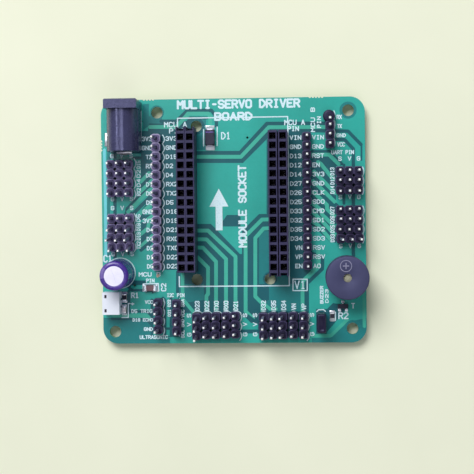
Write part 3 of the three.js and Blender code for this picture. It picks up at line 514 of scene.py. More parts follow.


# ---------------------------------------------------- board artwork, millimetres
# areas ("a") and lines ("l") in painting order: tone 2 copper under mask, 1 laminate, 0 gap, 5 a painted highlight
# along the board rim
PAINT = [
    ('a', 2, 0.00, [(-25.34, 35.05), (37.62, 34.84), (37.53, 24.38), (21.84, 24.61), (10.51, 25.33), (2.95, 19.35), (-10.41, 19.53), (-10.32, 27.86), (-25.43, 28.09)]),
    ('a', 2, 0.00, [(-37.43, 35.25), (-25.34, 35.05), (-25.43, 27.82), (-23.47, 27.79), (-23.5, 25), (-25.48, 23.92), (-25.56, 17.23), (-37.65, 17.4)]),
    ('a', 2, 0.00, [(21.29, 24.9), (37.53, 24.66), (37, -34.72), (20.71, -34.64)]),
    ('a', 2, 0.00, [(-37.61, 20.19), (-25.52, 20.02), (-25.67, 7.2), (-22.59, 7.16), (-22.7, -13.5), (-15.54, -13.54), (-15.64, -21.91), (-22.71, -21.9), (-22.71, -26.9), (-38.2, -26.81)]),
    ('a', 2, 0.00, [(-22.83, -13.48), (-15.54, -13.54), (-15.64, -21.91), (-17.88, -21.9), (-17.99, -31.95), (-23.05, -31.93)]),
    ('a', 2, 0.00, [(-9.89, 16.19), (2.92, 16.02), (9.93, 22.85), (9.71, 1.8), (7.22, 1.82), (2.44, -2.85), (2.37, -9.24), (1.82, -9.23), (-6.17, -0.81), (-10.08, -0.77)]),
    ('a', 2, 0.00, [(-38.26, -32.13), (37.02, -32.5), (37, -34.99), (-38.29, -34.66)]),
    ('a', 2, 0.00, [(-14, -25.55), (-11.76, -25.56), (-11.83, -32.26), (-14.07, -32.25)]),
    ('a', 2, 0.00, [(1.64, -26.48), (3.3, -27.05), (4.68, -28.45), (6.63, -28.46), (6.61, -30.27), (1.6, -30.24)]),
    ('a', 2, 0.00, [(1.58, -31.35), (7.71, -31.38), (7.69, -33.19), (1.56, -33.16)]),
    ('a', 1, 0.00, [(2.36, -10.35), (19.29, -10.5), (19.14, -25.2), (6.38, -25.12)]),
    ('a', 1, 0.00, [(-13.9, -17.46), (-8.31, -17.5), (-8.39, -25.03), (-13.99, -24.99)]),
    ('a', 1, 0.00, [(-15.55, -14.1), (-15.64, -21.91), (-13.95, -21.92), (-13.87, -14.11)]),
    ('a', 1, 0.00, [(-38.2, -26.95), (-22.99, -27.03), (-23.05, -32.35), (-18, -32.37), (-18.03, -35.03), (-38.3, -34.94)]),
    ('a', 1, 0.00, [(21.56, -32.7), (26.54, -32.73), (31.55, -28.32), (37.6, -27.0), (37.6, -34.99), (21.54, -34.92)]),
    ('a', 1, 0.00, [(-10.31, 28.42), (-7.25, 28.37), (-7.34, 19.77), (-10.41, 19.81)]),
    ('a', 1, 0.00, [(-23.45, 29.46), (-19.53, 29.4), (-19.55, 27.31), (-23.47, 27.37)]),
    # painted shadow: a darker laminate-tone strip right of the power jack, where the jack's shadow falls
    ('a', 1, 0.00, [(-24.81, 32.82), (-23.13, 32.79), (-23.2, 26.67), (-24.9, 25.58)]),
    ('a', 0, 0.00, [(-25.46, 25.31), (-15.1, 25.16), (-15.54, -13.54), (-22.55, -13.48), (-22.31, 7.16), (-25.11, 7.19), (-24.96, 20.01), (-25.52, 20.02)]),
    ('a', 0, 0.00, [(15.49, 24.98), (21.29, 24.9), (20.9, -15.22), (15.09, -15.18)]),
    ('l', 0, 0.95, [(-19.82, 27.95), (-15.49, 27.89), (-12.44, 30.84), (-5.69, 30.73), (-4.34, 28.88), (-4.37, 26.39)]),
    ('l', 0, 0.80, [(-11.71, 28.72), (-6.96, 28.65)]),
    ('l', 0, 0.90, [(-13.69, 26.53), (-11.71, 28.3)]),
    ('l', 2, 1.05, [(-22.92, 26.39), (-15.65, 26.28), (-14.52, 27.37), (-12.25, 29.95), (-6.67, 29.86), (-6.07, 29.19), (-6.1, 26.41)]),
    ('l', 0, 0.80, [(-22.38, 25.27), (-15.38, 25.16)]),
    ('l', 0, 1.05, [(-10.42, 18.98), (2.12, 18.86), (9.69, 26.84), (27.1, 26.63)]),
    ('l', 0, 1.05, [(-10.44, 16.87), (2.73, 16.69), (10.08, 24.09), (10.09, 24.9), (27.08, 24.65)]),
    ('l', 2, 1.05, [(-10.43, 17.92), (2.38, 17.75), (10.18, 25.84), (27.09, 25.64)]),
    ('l', 0, 0.70, [(-10.31, 16.2), (-10.5, -0.77)]),
    ('l', 0, 0.50, [(9.79, 22.3), (9.58, 1.8)]),
    ('l', 0, 0.95, [(21.29, 24.73), (32.03, 24.41), (35.57, 20.69)]),
    ('l', 0, 0.95, [(28.16, 22.26), (31.05, 22.1), (33.47, 19.48), (33.2, -10.06)]),
    ('l', 0, 0.50, [(35.71, 20.27), (35.67, 16.42)]),
    ('a', 0, 0.00, [(21.79, 19.36), (27.03, 19.29), (31.12, 15.1), (28.64, 14.85), (28.44, -6.43), (26.52, -5.85), (22.14, -1.66), (21.59, -1.65)]),
    ('l', 2, 1.05, [(21.78, 18.09), (26.74, 18.03), (29.34, 15.4)]),
    ('l', 2, 1.05, [(23.69, 16.02), (24.51, 15.46), (27.78, 11.27)]),
    ('l', 2, 1.05, [(22.56, 13.41), (23.93, 12.01), (28.3, 7.4)]),
    ('l', 2, 1.05, [(22.26, 10.79), (23.63, 9.53), (28.27, 4.91)]),
    ('l', 2, 1.05, [(22.23, 7.75), (24.69, 5.51), (26.06, 4.11), (26.05, 3), (27.96, 1.05)]),
    ('l', 2, 1.05, [(21.93, 4.85), (24.66, 2.46), (24.66, 1.5), (27.94, -1.72)]),
    ('l', 2, 1.05, [(21.9, 2.49), (24.91, -0.58), (28.19, -4.21)]),
    ('l', 2, 1.05, [(21.88, -0.27), (23.52, -1.4), (26.8, -5.3)]),
    ('l', 0, 0.80, [(30.85, 15.1), (30.75, 4.47)]),
    ('l', 0, 0.70, [(28.54, 4.36), (31, 1.84)]),
    ('l', 0, 1.00, [(20.96, -8.85), (24.71, -10.54), (24.57, -13.59), (20.33, -17.57), (20.25, -25.2)]),
    ('a', 0, 0.00, [(15.11, -13.23), (20.92, -13.28), (21.74, -14.4), (19.23, -16.87), (19.22, -17.7), (15.06, -17.67)]),
    ('l', 2, 1.05, [(23.46, -8.32), (23.58, -12.75), (19.09, -17.01), (19.01, -25.19)]),
    ('a', 0, 0.00, [(28.84, -23.32), (31.04, -23.33), (31.03, -24.71), (27.68, -28.85), (25.73, -31.06), (25.72, -31.61), (22.4, -31.6), (22.47, -24.66), (25.79, -24.68), (27.46, -23.03)]),
    ('a', 2, 0.00, [(21.37, -23.82), (22.76, -23.83), (22.68, -31.6), (21.3, -31.59)]),
    ('l', 2, 0.90, [(21.57, -32.15), (26.82, -32.06), (31.28, -27.76)]),
    ('a', 0, 0.00, [(-10.65, -1.32), (-6.74, -1.36), (1.81, -10.07), (6.81, -10.39), (6.66, -25.4), (-13.99, -25.27), (-13.96, -22.76), (-8.36, -21.96), (-8.31, -17.5), (-10.83, -17.48)]),
    ('a', 0, 0.00, [(2.58, -3.13), (7.21, 1.27), (9.99, 1.24), (9.75, -22.08), (7.79, -22.9), (9.99, -25.42), (2.34, -25.37)]),
    ('a', 1, 0.00, [(7.15, -4.28), (8.56, -2.91), (9.94, -2.92), (9.79, -17.63), (7.02, -17.61)]),
    ('a', 0, 0.00, [(-1.69, 1.64), (1.38, 1.61), (2.07, 1.05), (2.04, -1.59), (-3.11, -1.54), (-3.1, -0.29)]),
    ('l', 2, 1.05, [(-10.38, -2.61), (-7.03, -2.64), (0.56, -9.94), (0.4, -25.08)]),
    ('l', 2, 1.05, [(-10.41, -5), (-7.48, -5.09), (-2.1, -10.59), (-2.25, -25.06)]),
    ('l', 2, 1.05, [(-10.43, -7.31), (-8.48, -7.39), (-4.89, -11.29), (-5.04, -25.05)]),
    ('l', 2, 1.05, [(-10.46, -9.96), (-10.04, -10.02), (-7.14, -12.94), (-7.22, -20.29), (-7.68, -20.85), (-7.72, -25.03)]),
    ('l', 2, 1.05, [(9.7, 0.3), (8.03, 0.26), (3.43, -4.25), (3.21, -25.24), (5.25, -27.2)]),
    ('l', 2, 1.05, [(9.67, -2.17), (8.42, -2.24), (6.12, -4.83), (5.95, -21.08), (7.88, -23.04), (7.85, -25.4)]),
    ('l', 2, 0.90, [(8.35, -23.18), (10, -24.58), (11.67, -24.59)]),
    ('l', 0, 0.90, [(3.86, -26.49), (6.07, -28.26), (7.74, -28.27)]),
    ('l', 0, 0.95, [(1.59, -30.8), (7.71, -30.83)]),
    ('l', 0, 0.90, [(-15.66, -14.1), (-15.72, -19.68)]),
    ('l', 2, 0.95, [(-14.26, -14.67), (-14.34, -21.64), (-11.47, -25.15)]),
    ('l', 0, 0.80, [(-14, -25.55), (-15.65, -23.59)]),
    ('l', 0, 0.95, [(-32.83, 20.12), (-33.2, -10.04)]),
    ('l', 1, 0.80, [(-34.63, 20.15), (-34.99, -9.19)]),
    ('l', 0, 0.80, [(-25.53, 19.46), (-31.99, 19.55), (-34.26, 17.91)]),
    ('l', 0, 0.90, [(-27.51, 17.82), (-25.27, 17.79), (-23, 19.99)]),
    ('l', 0, 0.80, [(-27.7, 2.48), (-29.95, 2.5), (-27.95, 4.71)]),
    ('l', 0, 0.95, [(-29.67, 2.5), (-29.65, 3.62), (-25.39, 7.75), (-22.55, 10.51)]),
    ('l', 0, 1.05, [(-27.7, 2.48), (-25.14, 4.96), (-22.58, 7.44), (-22.6, 6.05), (-25.16, 3.01), (-25.18, 1.61)]),
    ('l', 0, 1.10, [(-25.33, 12.21), (-22.22, 14.96)]),
    ('l', 0, 1.10, [(-25.64, 9.85), (-22.52, 12.74)]),
    ('l', 2, 1.00, [(-25.63, 11.24), (-23.35, 13.58)]),
    ('l', 2, 1.00, [(-25.66, 8.59), (-22.25, 11.76)]),
    ('l', 2, 1.00, [(-29.38, 2.78), (-25.97, 6.23), (-23.41, 8.71), (-22.28, 9.39)]),
    ('l', 2, 0.90, [(-25.73, 2.46), (-24.31, 3.7), (-22.33, 5.21)]),
    ('l', 0, 1.20, [(-25.75, 1.06), (-23.22, 1.45)]),
    ('l', 2, 1.00, [(-24.07, 0.49), (-22.37, 1.72)]),
    ('a', 0, 0.00, [(-25.76, -0.05), (-22.67, -0.09), (-22.77, -8.46), (-24.15, -6.49), (-25.84, -6.47)]),
    ('l', 2, 1.00, [(-25.8, -3.4), (-23.82, -1.75), (-23.63, -0.63)]),
    ('l', 2, 1.00, [(-25.84, -6.89), (-22.72, -3.99)]),
    ('l', 0, 1.00, [(-25.85, -7.87), (-22.45, -5.11)]),
    ('a', 2, 0.00, [(-25.3, -8.43), (-22.46, -5.95), (-22.55, -13.48), (-25.36, -13.46)]),
    ('a', 0, 0.00, [(-30.19, -17.34), (-28.77, -16.37), (-24.55, -16.4), (-24.56, -17.38), (-21.47, -17.4), (-21.5, -19.36), (-22.91, -20.19), (-24.88, -20.17), (-25.99, -19.47), (-28.8, -19.45), (-29.92, -18.32)]),
    ('a', 2, 0.00, [(-28.78, -17.77), (-25.41, -17.65), (-25.42, -18.77), (-28.23, -18.75), (-28.79, -18.33)]),
    ('l', 0, 0.80, [(-29.36, -19.3), (-29.46, -26.86)]),
    ('a', 0, 0.00, [(-31.62, -19.43), (-29.37, -19.44), (-29.45, -26.44), (-31.7, -26.42)]),
    ('a', 2, 0.00, [(-29.14, -19.58), (-22.9, -19.63), (-22.95, -23.54), (-24.91, -23.53), (-28.85, -23.5)]),
    ('l', 0, 0.70, [(-28.87, -25.04), (-24.37, -25.07), (-22.98, -26.47)]),
    ('l', 2, 0.95, [(-33.67, -26.22), (-24.38, -26.27), (-23, -27.59)]),
    ('l', 0, 0.70, [(-34.25, -27.05), (-24.68, -27.22), (-23.01, -28.85)]),
    ('l', 0, 0.80, [(-19.83, -21.32), (-19.28, -21.89), (-19.4, -31.95)]),
    ('l', 0, 0.70, [(-19.37, -29.88), (-17.69, -29.89)]),
    ('l', 0, 0.80, [(-17.59, -21.34), (-17.71, -31.95)]),
    ('l', 0, 0.80, [(-22.93, -21.86), (-23.05, -31.93)]),
    ('l', 0, 0.60, [(-29.38, -8.96), (-29.37, -8.4)]),
    # painted highlight: a light strip along the left rim of the board
    ('l', 5, 0.80, [(-35.82, 20.2), (-35.72, 4.8), (-35.80, -9.0)]),
    # painted highlight: a bright strip along the right rim of the board, drawn in the track tone
    ('l', 2, 0.95, [(36.1, -13.5), (36.05, -29.5)]),
]
SILK_LINES = [
    (0.30, [(-15.2, 24.2), (-15.2, 28.69), (15.43, 28.69), (15.43, -18.15), (-15.2, -18.15), (-15.2, -15.4)]),
    (0.28, [(-25.39, 31.16), (-25.5, 21.83)]),
    (0.28, [(-7.95, 25.47), (-8, 20.89)]),
    (0.28, [(-4.15, 26.11), (-4.21, 20.97)]),
    (0.30, [(-29.13, -22.8), (-29.6, -22.8), (-29.65, -26.69), (-31.43, -26.68)]),
    (0.30, [(-25.35, -17.37), (-21.08, -17.29), (-20.99, -19.36), (-22.48, -19.43)]),
    (0.30, [(-25.35, -17.37), (-25.37, -19.41), (-24.44, -19.42)]),
    (0.28, [(28.1, -25.53), (28.08, -27.88)]),
    (0.25, [(26.75, -25.52), (27.71, -25.53)]),
    (0.25, [(26.73, -27.63), (27.69, -27.63)]),
    (0.28, [(22.96, -25.36), (23.46, -24.89), (24.79, -24.84), (25.31, -25.32)]),
    (0.22, [(-19.45, 24.11), (-19.17, 23.7), (-18.99, 23.3), (-18.93, 22.91), (-19, 22.51), (-19.19, 22.11), (-19.48, 21.72)]),
    (0.22, [(-19.48, 21.57), (-19.2, 21.17), (-19.02, 20.77), (-18.96, 20.37), (-19.03, 19.97), (-19.22, 19.58), (-19.51, 19.18)]),
    (0.22, [(-19.51, 19.03), (-19.23, 18.63), (-19.05, 18.23), (-18.99, 17.83), (-19.06, 17.43), (-19.25, 17.04), (-19.53, 16.65)]),
    (0.22, [(-19.54, 16.49), (-19.26, 16.09), (-19.08, 15.69), (-19.02, 15.29), (-19.09, 14.9), (-19.28, 14.5), (-19.56, 14.11)]),
    (0.22, [(-19.57, 13.95), (-19.29, 13.55), (-19.11, 13.15), (-19.05, 12.75), (-19.12, 12.36), (-19.31, 11.96), (-19.59, 11.57)]),
    (0.22, [(-19.6, 11.41), (-19.32, 11.01), (-19.14, 10.61), (-19.08, 10.21), (-19.15, 9.82), (-19.34, 9.42), (-19.62, 9.03)]),
    (0.22, [(-19.62, 8.87), (-19.35, 8.47), (-19.17, 8.07), (-19.11, 7.67), (-19.18, 7.28), (-19.37, 6.88), (-19.65, 6.49)]),
    (0.22, [(-19.65, 6.33), (-19.38, 5.93), (-19.2, 5.53), (-19.14, 5.13), (-19.21, 4.74), (-19.4, 4.34), (-19.68, 3.95)]),
    (0.22, [(-19.68, 3.79), (-19.41, 3.39), (-19.23, 2.99), (-19.16, 2.59), (-19.23, 2.2), (-19.43, 1.8), (-19.71, 1.4)]),
    (0.22, [(-19.71, 1.25), (-19.44, 0.85), (-19.25, 0.45), (-19.19, 0.05), (-19.26, -0.35), (-19.46, -0.74), (-19.74, -1.14)]),
    (0.22, [(-19.74, -1.29), (-19.47, -1.69), (-19.28, -2.09), (-19.22, -2.49), (-19.29, -2.89), (-19.48, -3.29), (-19.77, -3.68)]),
    (0.22, [(-19.77, -3.83), (-19.5, -4.24), (-19.31, -4.64), (-19.25, -5.03), (-19.32, -5.43), (-19.51, -5.83), (-19.8, -6.22)]),
    (0.22, [(-19.8, -6.38), (-19.53, -6.78), (-19.34, -7.18), (-19.28, -7.58), (-19.35, -7.98), (-19.54, -8.37), (-19.83, -8.77)]),
    (0.22, [(-19.83, -8.92), (-19.55, -9.32), (-19.37, -9.72), (-19.31, -10.12), (-19.38, -10.52), (-19.57, -10.92), (-19.86, -11.31)]),
    (0.22, [(-19.86, -11.47), (-19.58, -11.87), (-19.4, -12.27), (-19.34, -12.67), (-19.41, -13.07), (-19.6, -13.46), (-19.89, -13.86)]),
    (0.25, [(28.23, 30.06), (28.36, 29.66), (28.44, 29.27), (28.47, 28.87), (28.44, 28.48), (28.35, 28.09), (28.21, 27.7)]),
    (0.25, [(28.21, 27.55), (28.34, 27.15), (28.42, 26.76), (28.45, 26.36), (28.41, 25.97), (28.32, 25.58), (28.19, 25.19)]),
    (0.25, [(28.19, 25.04), (28.31, 24.64), (28.4, 24.25), (28.42, 23.85), (28.39, 23.46), (28.3, 23.07), (28.16, 22.68)]),
    (0.25, [(28.16, 22.53), (28.29, 22.13), (28.37, 21.74), (28.4, 21.34), (28.37, 20.95), (28.28, 20.56), (28.14, 20.17)]),
    (0.25, [(-19.78, -21.58), (-19.59, -21.98), (-19.47, -22.38), (-19.43, -22.78), (-19.48, -23.18), (-19.61, -23.58), (-19.81, -23.98)]),
    (0.25, [(-19.81, -24.13), (-19.62, -24.53), (-19.5, -24.93), (-19.46, -25.34), (-19.51, -25.74), (-19.64, -26.14), (-19.84, -26.54)]),
    (0.25, [(-19.84, -26.69), (-19.65, -27.09), (-19.53, -27.49), (-19.49, -27.89), (-19.54, -28.29), (-19.67, -28.69), (-19.87, -29.09)]),
    (0.25, [(-19.87, -29.25), (-19.68, -29.65), (-19.56, -30.05), (-19.52, -30.45), (-19.57, -30.85), (-19.7, -31.25), (-19.9, -31.65)]),
    (0.24, [(-27.52, 17.66), (-27.26, 17.21), (-27.08, 16.76), (-27.03, 16.31), (-27.09, 15.86), (-27.28, 15.41), (-27.55, 14.96)]),
    (0.24, [(-27.55, 14.79), (-27.29, 14.34), (-27.12, 13.89), (-27.06, 13.44), (-27.13, 12.99), (-27.31, 12.54), (-27.58, 12.09)]),
    (0.24, [(-27.58, 11.92), (-27.32, 11.47), (-27.15, 11.01), (-27.1, 10.56), (-27.16, 10.11), (-27.35, 9.67), (-27.62, 9.22)]),
    (0.24, [(-27.62, 9.05), (-27.36, 8.59), (-27.19, 8.14), (-27.13, 7.69), (-27.2, 7.24), (-27.38, 6.79), (-27.65, 6.35)]),
    (0.24, [(-27.64, 2.26), (-27.4, 1.84), (-27.24, 1.41), (-27.18, 0.99), (-27.25, 0.57), (-27.42, 0.16), (-27.67, -0.26)]),
    (0.24, [(-27.68, -0.42), (-27.43, -0.84), (-27.27, -1.27), (-27.21, -1.69), (-27.28, -2.1), (-27.45, -2.52), (-27.71, -2.94)]),
    (0.24, [(-27.71, -3.1), (-27.46, -3.52), (-27.3, -3.95), (-27.25, -4.37), (-27.31, -4.79), (-27.48, -5.2), (-27.74, -5.62)]),
    (0.24, [(-27.74, -5.78), (-27.49, -6.2), (-27.33, -6.63), (-27.28, -7.05), (-27.34, -7.47), (-27.51, -7.88), (-27.77, -8.3)]),
    (0.25, [(1.59, -25.58), (1.86, -26), (2.05, -26.41), (2.11, -26.82), (2.04, -27.23), (1.85, -27.64), (1.56, -28.04)]),
    (0.25, [(1.56, -28.2), (1.84, -28.61), (2.02, -29.02), (2.08, -29.43), (2.01, -29.84), (1.82, -30.25), (1.54, -30.66)]),
    (0.25, [(1.53, -30.82), (1.81, -31.23), (1.99, -31.64), (2.05, -32.05), (1.98, -32.46), (1.79, -32.87), (1.51, -33.28)]),
    (0.25, [(20.3, -25.78), (20.58, -26.19), (20.76, -26.6), (20.82, -27.01), (20.75, -27.42), (20.56, -27.83), (20.28, -28.23)]),
    (0.25, [(20.28, -28.39), (20.55, -28.8), (20.73, -29.21), (20.79, -29.62), (20.72, -30.03), (20.53, -30.43), (20.25, -30.84)]),
    (0.25, [(20.25, -31), (20.52, -31.41), (20.7, -31.82), (20.77, -32.23), (20.7, -32.64), (20.51, -33.04), (20.23, -33.45)]),
    (0.24, [(35.96, 14.45), (36.13, 14.04), (36.24, 13.64), (36.28, 13.24), (36.23, 12.83), (36.11, 12.43), (35.94, 12.03)]),
    (0.24, [(35.93, 11.88), (36.1, 11.48), (36.22, 11.07), (36.25, 10.67), (36.21, 10.27), (36.09, 9.87), (35.91, 9.47)]),
    (0.24, [(35.91, 9.32), (36.08, 8.91), (36.19, 8.51), (36.23, 8.11), (36.19, 7.7), (36.07, 7.3), (35.89, 6.9)]),
    (0.24, [(35.94, 3.7), (36.11, 3.29), (36.22, 2.88), (36.26, 2.48), (36.22, 2.07), (36.1, 1.66), (35.92, 1.26)]),
    (0.24, [(35.92, 1.1), (36.09, 0.7), (36.2, 0.29), (36.24, -0.12), (36.19, -0.53), (36.07, -0.93), (35.9, -1.34)]),
    (0.24, [(35.9, -1.49), (36.07, -1.9), (36.18, -2.31), (36.21, -2.71), (36.17, -3.12), (36.05, -3.53), (35.87, -3.93)]),
    (0.24, [(35.87, -4.09), (36.04, -4.5), (36.15, -4.9), (36.19, -5.31), (36.15, -5.72), (36.03, -6.12), (35.85, -6.53)]),
    (0.26, [(-11.47, -25.62), (-11.06, -25.3), (-10.65, -25.09), (-10.24, -25.02), (-9.83, -25.09), (-9.42, -25.31), (-9.02, -25.64)]),
    (0.26, [(-8.75, -25.64), (-8.33, -25.32), (-7.92, -25.1), (-7.51, -25.03), (-7.11, -25.11), (-6.7, -25.33), (-6.29, -25.65)]),
    (0.26, [(-6.02, -25.65), (-5.61, -25.33), (-5.2, -25.12), (-4.79, -25.05), (-4.38, -25.13), (-3.98, -25.34), (-3.57, -25.67)]),
    (0.26, [(-3.3, -25.67), (-2.89, -25.35), (-2.48, -25.14), (-2.07, -25.07), (-1.66, -25.14), (-1.26, -25.36), (-0.85, -25.69)]),
    (0.26, [(-0.58, -25.69), (-0.17, -25.37), (0.24, -25.15), (0.65, -25.08), (1.05, -25.16), (1.46, -25.38), (1.86, -25.7)]),
    (0.26, [(6.95, -25.84), (7.37, -25.52), (7.79, -25.31), (8.22, -25.24), (8.64, -25.32), (9.05, -25.53), (9.47, -25.86)]),
    (0.26, [(9.75, -25.86), (10.18, -25.54), (10.6, -25.33), (11.02, -25.26), (11.44, -25.33), (11.86, -25.55), (12.28, -25.88)]),
    (0.26, [(12.56, -25.88), (12.98, -25.56), (13.4, -25.35), (13.82, -25.27), (14.24, -25.35), (14.66, -25.57), (15.08, -25.89)]),
    (0.26, [(15.36, -25.89), (15.78, -25.58), (16.2, -25.36), (16.62, -25.29), (17.04, -25.37), (17.46, -25.59), (17.88, -25.91)]),
    (0.26, [(18.16, -25.91), (18.58, -25.59), (19, -25.38), (19.42, -25.31), (19.84, -25.39), (20.26, -25.6), (20.67, -25.93)]),
    (0.24, [(-15.24, -21.63), (-15.36, -31.97)]),
    (0.26, [(16.46, -16.35), (20.39, -16.38), (20.36, -19.54), (16.43, -19.52), (16.46, -16.35)]),
]
LABELS = [
    ('MULTI-SERVO DRIVER', -15.36, 31.12, 18.94, 33.72, 0, 0.60),
    ('BOARD', -5, 27.78, 5.71, 30.22, 0, 0.60),
    ('D1', -3.11, 22.61, -0.46, 24.7, 0, 0.32),
    ('MODULE SOCKET', 1.41, -7.47, 3.84, 15.49, 90, 0.52),
    ('MCU A', -18.99, 26.18, -12.57, 27.72, 0, 0.28),
    ('PIN', -17.61, 24.47, -13.71, 25.92, 0, 0.28),
    ('MCU A', 14.47, 26.29, 20.2, 27.82, 0, 0.30),
    ('PIN', 15.33, 24.61, 18.53, 26.04, 0, 0.30),
    ('MCU B', 21.74, 24.32, 23, 31.13, 90, 0.28),
    ('PIN', 23.48, 25.4, 24.66, 28.62, 90, 0.28),
    ('UART PIN', 27.36, 18.04, 33.63, 19.23, 0, 0.24),
    ('RX', 28.88, 27.74, 30.41, 28.98, 0, 0.24),
    ('TX', 29.03, 25.26, 30.39, 26.44, 0, 0.24),
    ('GND', 28.84, 22.76, 31.47, 23.85, 0, 0.24),
    ('VCC', 28.98, 20.17, 31.17, 21.42, 0, 0.24),
    ('MCU B', -26.6, -15.34, -20.44, -14.07, 0, 0.26),
    ('PIN', -24.54, -17.01, -22.14, -15.87, 0, 0.24),
    ('C1', -36.5, -11.3, -33.95, -9.15, 0, 0.38),
    ('R1', -28.81, -21.33, -26.58, -19.7, 0, 0.34),
    ('+', -28.95, -23.45, -27.89, -22.38, 0, 0.34),
    ('C2', -20.4, -19.49, -18.86, -17.19, 90, 0.34),
    ('VCC', -24.95, -22.98, -22.66, -21.9, 0, 0.22),
    ('D5 TRIG', -28.75, -25.5, -22.86, -24.4, 0, 0.20),
    ('D18 ECHO', -28.44, -27.9, -22.72, -26.92, 0, 0.20),
    ('GND', -25.32, -30.53, -22.75, -29.45, 0, 0.24),
    ('ULTRASONIC', -26.53, -32.79, -18.56, -31.69, 0, 0.22),
    ('I2C', -18.75, -21.12, -16.75, -19.99, 0, 0.22),
    ('PIN', -15.89, -21.14, -13.78, -20.01, 0, 0.22),
    ('D21 D22', -18.6, -26.53, -17.65, -21.78, 90, 0.22),
    ('VCC SDA', -14.85, -26.84, -13.84, -21.64, 90, 0.22),
    ('SCL GND', -14.91, -32.53, -13.91, -27.22, 90, 0.22),
    ('R2', 28.87, -27.54, 31.72, -25.59, 0, 0.36),
    ('T', 32.48, -24.62, 33.51, -23.06, 0, 0.30),
    ('BUZZER', 23.86, -23.23, 24.86, -18.24, 90, 0.24),
    ('D23', 25.29, -23.02, 26.24, -19.19, 90, 0.22),
    ('V1', 16.85, -19.1, 19.92, -16.74, 0, 0.30),
]

# how far the pin tips of each strip stand from their holes
LEAN_BL = (-0.575, 0.035)
LEAN_BR = (0.17, -0.08)
SERVO_LEAN = {
    "upper_left": [(0.0, 0.14), (0.0, -0.09), (0.0, -0.33), (0.0, -0.65)],
    "lower_left": [(0.03, -0.06), (-0.3, -0.85), (-0.62, -1.08), (0.08, -1.34)],
    "upper_right": [(0.04, 0.12), (0.05, -0.02), (0.04, -0.52)],
    "lower_right": [(0.06, 0.42), (0.12, 0.23), (-0.1, -0.08), (0.62, -0.34)],
    "bottom_left": [(-0.25, -1.13), (-0.28, -0.1), (-0.38, -0.14), (-0.06, 0.05), (-0.23, 0.52)],
    "bottom_right": [(-0.1, -0.58), (-0.48, -0.37), (-1.0, -0.26), (-0.7, -0.04), (-0.48, -0.22)],
}
FLOOR_A, FLOOR_B = srgb(232, 236, 214), srgb(240, 243, 222)
KEY, FILL, STREAK, WORLD = 15.4, 1.9, 0.75, 0.29
ZENITH = (0.16, 0.17, 0.19)
BUZZER_MARK = mat_plastic("buzzer_mark", (0.24, 0.24, 0.38), 0.4, 0.1, spec=0.5)


# --------------------------------------------------------------- height fields
def terrain(b, v, tris, level, zfun, zbot, mats=0, wall=0, floor=0, flip=False, xf=None, smooth=False):
    """A closed solid over triangles that each stand at a level; zfun(x, y, level) gives the height of a corner."""
    keys, pts, faces, fm = {}, [], [], []

    def key(i, lv):
        if (i, lv) not in keys:
            keys[(i, lv)] = len(pts)
            x, y = v[i].x, v[i].y
            pts.append((x, y, zbot if lv == "B" else zfun(x, y, lv)))
        return keys[(i, lv)]

    owner = {}
    for t, lv in zip(tris, level):
        for i, j in zip(t, t[1:] + t[:1]):
            owner[(i, j)] = lv
    zc = {}
    for t, lv in zip(tris, level):
        faces.append([key(i, lv) for i in t])
        fm.append(mats[lv] if isinstance(mats, dict) else mats)
        faces.append([key(i, "B") for i in reversed(t)])
        fm.append(floor)
        for i, j in zip(t, t[1:] + t[:1]):
            other = owner.get((j, i))
            if other is None:
                faces.append([key(i, "B"), key(j, "B"), key(j, lv), key(i, lv)])
                fm.append(wall)
            elif other != lv:
                a = pts[key(i, lv)][2]
                c = pts[key(i, other)][2]
                d = pts[key(j, other)][2]
                e = pts[key(j, lv)][2]
                if abs(a - c) < 1e-9 and abs(d - e) < 1e-9:
                    continue
                if a + e > c + d:
                    faces.append([key(i, other), key(j, other), key(j, lv), key(i, lv)])
                    fm.append(mats[lv] if isinstance(mats, dict) and wall == "own" else (wall if wall != "own" else mats))
    fm = [0 if m == "own" else m for m in fm]
    if flip:
        faces = [list(reversed(f)) for f in faces]
    b.add(pts, faces, fm, smooth, xf)


def paint(polys, voids=()):
    """Triangles of the first outline, each with the index of the last outline over it, leaving out the voids."""
    v, f, of = arrange([p for p in polys] + [p for p in voids])
    n = len(polys)
    tris, top = [], []
    for t, o in zip(f, of):
        if 0 in o and not any(k >= n for k in o):
            tris.append(list(t))
            top.append(max(o))
    return v, tris, top


def ccw(p):
    a = sum(p[i - 1][0] * p[i][1] - p[i][0] * p[i - 1][1] for i in range(len(p)))
    return list(p) if a > 0 else list(reversed(p))


# -------------------------------------------------------------- camera, floor
T = box_mm("circuit_board")[1][2]                 # height of the board's top
BX0, BX1 = box_mm("circuit_board")[0][0], box_mm("circuit_board")[1][0]
BY0, BY1 = box_mm("circuit_board")[0][1], box_mm("circuit_board")[1][1]
FLOOR_Z = CAD_LO.z / MM - 0.01

cam_data = bpy.data.cameras.new("camera")
cam_data.sensor_width = 36.0
cam_data.lens = 93.82
cam_data.clip_start = 0.01
cam_data.clip_end = 10
cam = bpy.data.objects.new("camera", cam_data)
bpy.context.scene.collection.objects.link(cam)
rot = Matrix.Rotation(-0.0106258, 4, "Z") @ Matrix.Rotation(0.0592158, 4, "Y") @ Matrix.Rotation(-0.0157585, 4, "X")
cam.matrix_world = Matrix.Translation(Vector((21.40, 0.69, 344.21)) * MM) @ rot
bpy.context.scene.camera = cam

fl = Mat("studio_table")
fcol = fl.ramp(fl.noise(9, 4, 0.6), [(0.3, FLOOR_A), (0.7, FLOOR_B)])
fl.set(Base_Color=fcol, Roughness=0.85, Specular_IOR_Level=0.1, Normal=fl.bump(fl.noise(700, 3), 0.04, 0.00003))
fb = bpy.data.meshes.new("floor")
s = 1.5
fb.from_pydata([(-s, -s, FLOOR_Z * MM), (s, -s, FLOOR_Z * MM), (s, s, FLOOR_Z * MM), (-s, s, FLOOR_Z * MM)], [], [(0, 1, 2, 3)])
fb.materials.append(fl.mat)
floor = bpy.data.objects.new("floor", fb)
bpy.context.scene.collection.objects.link(floor)


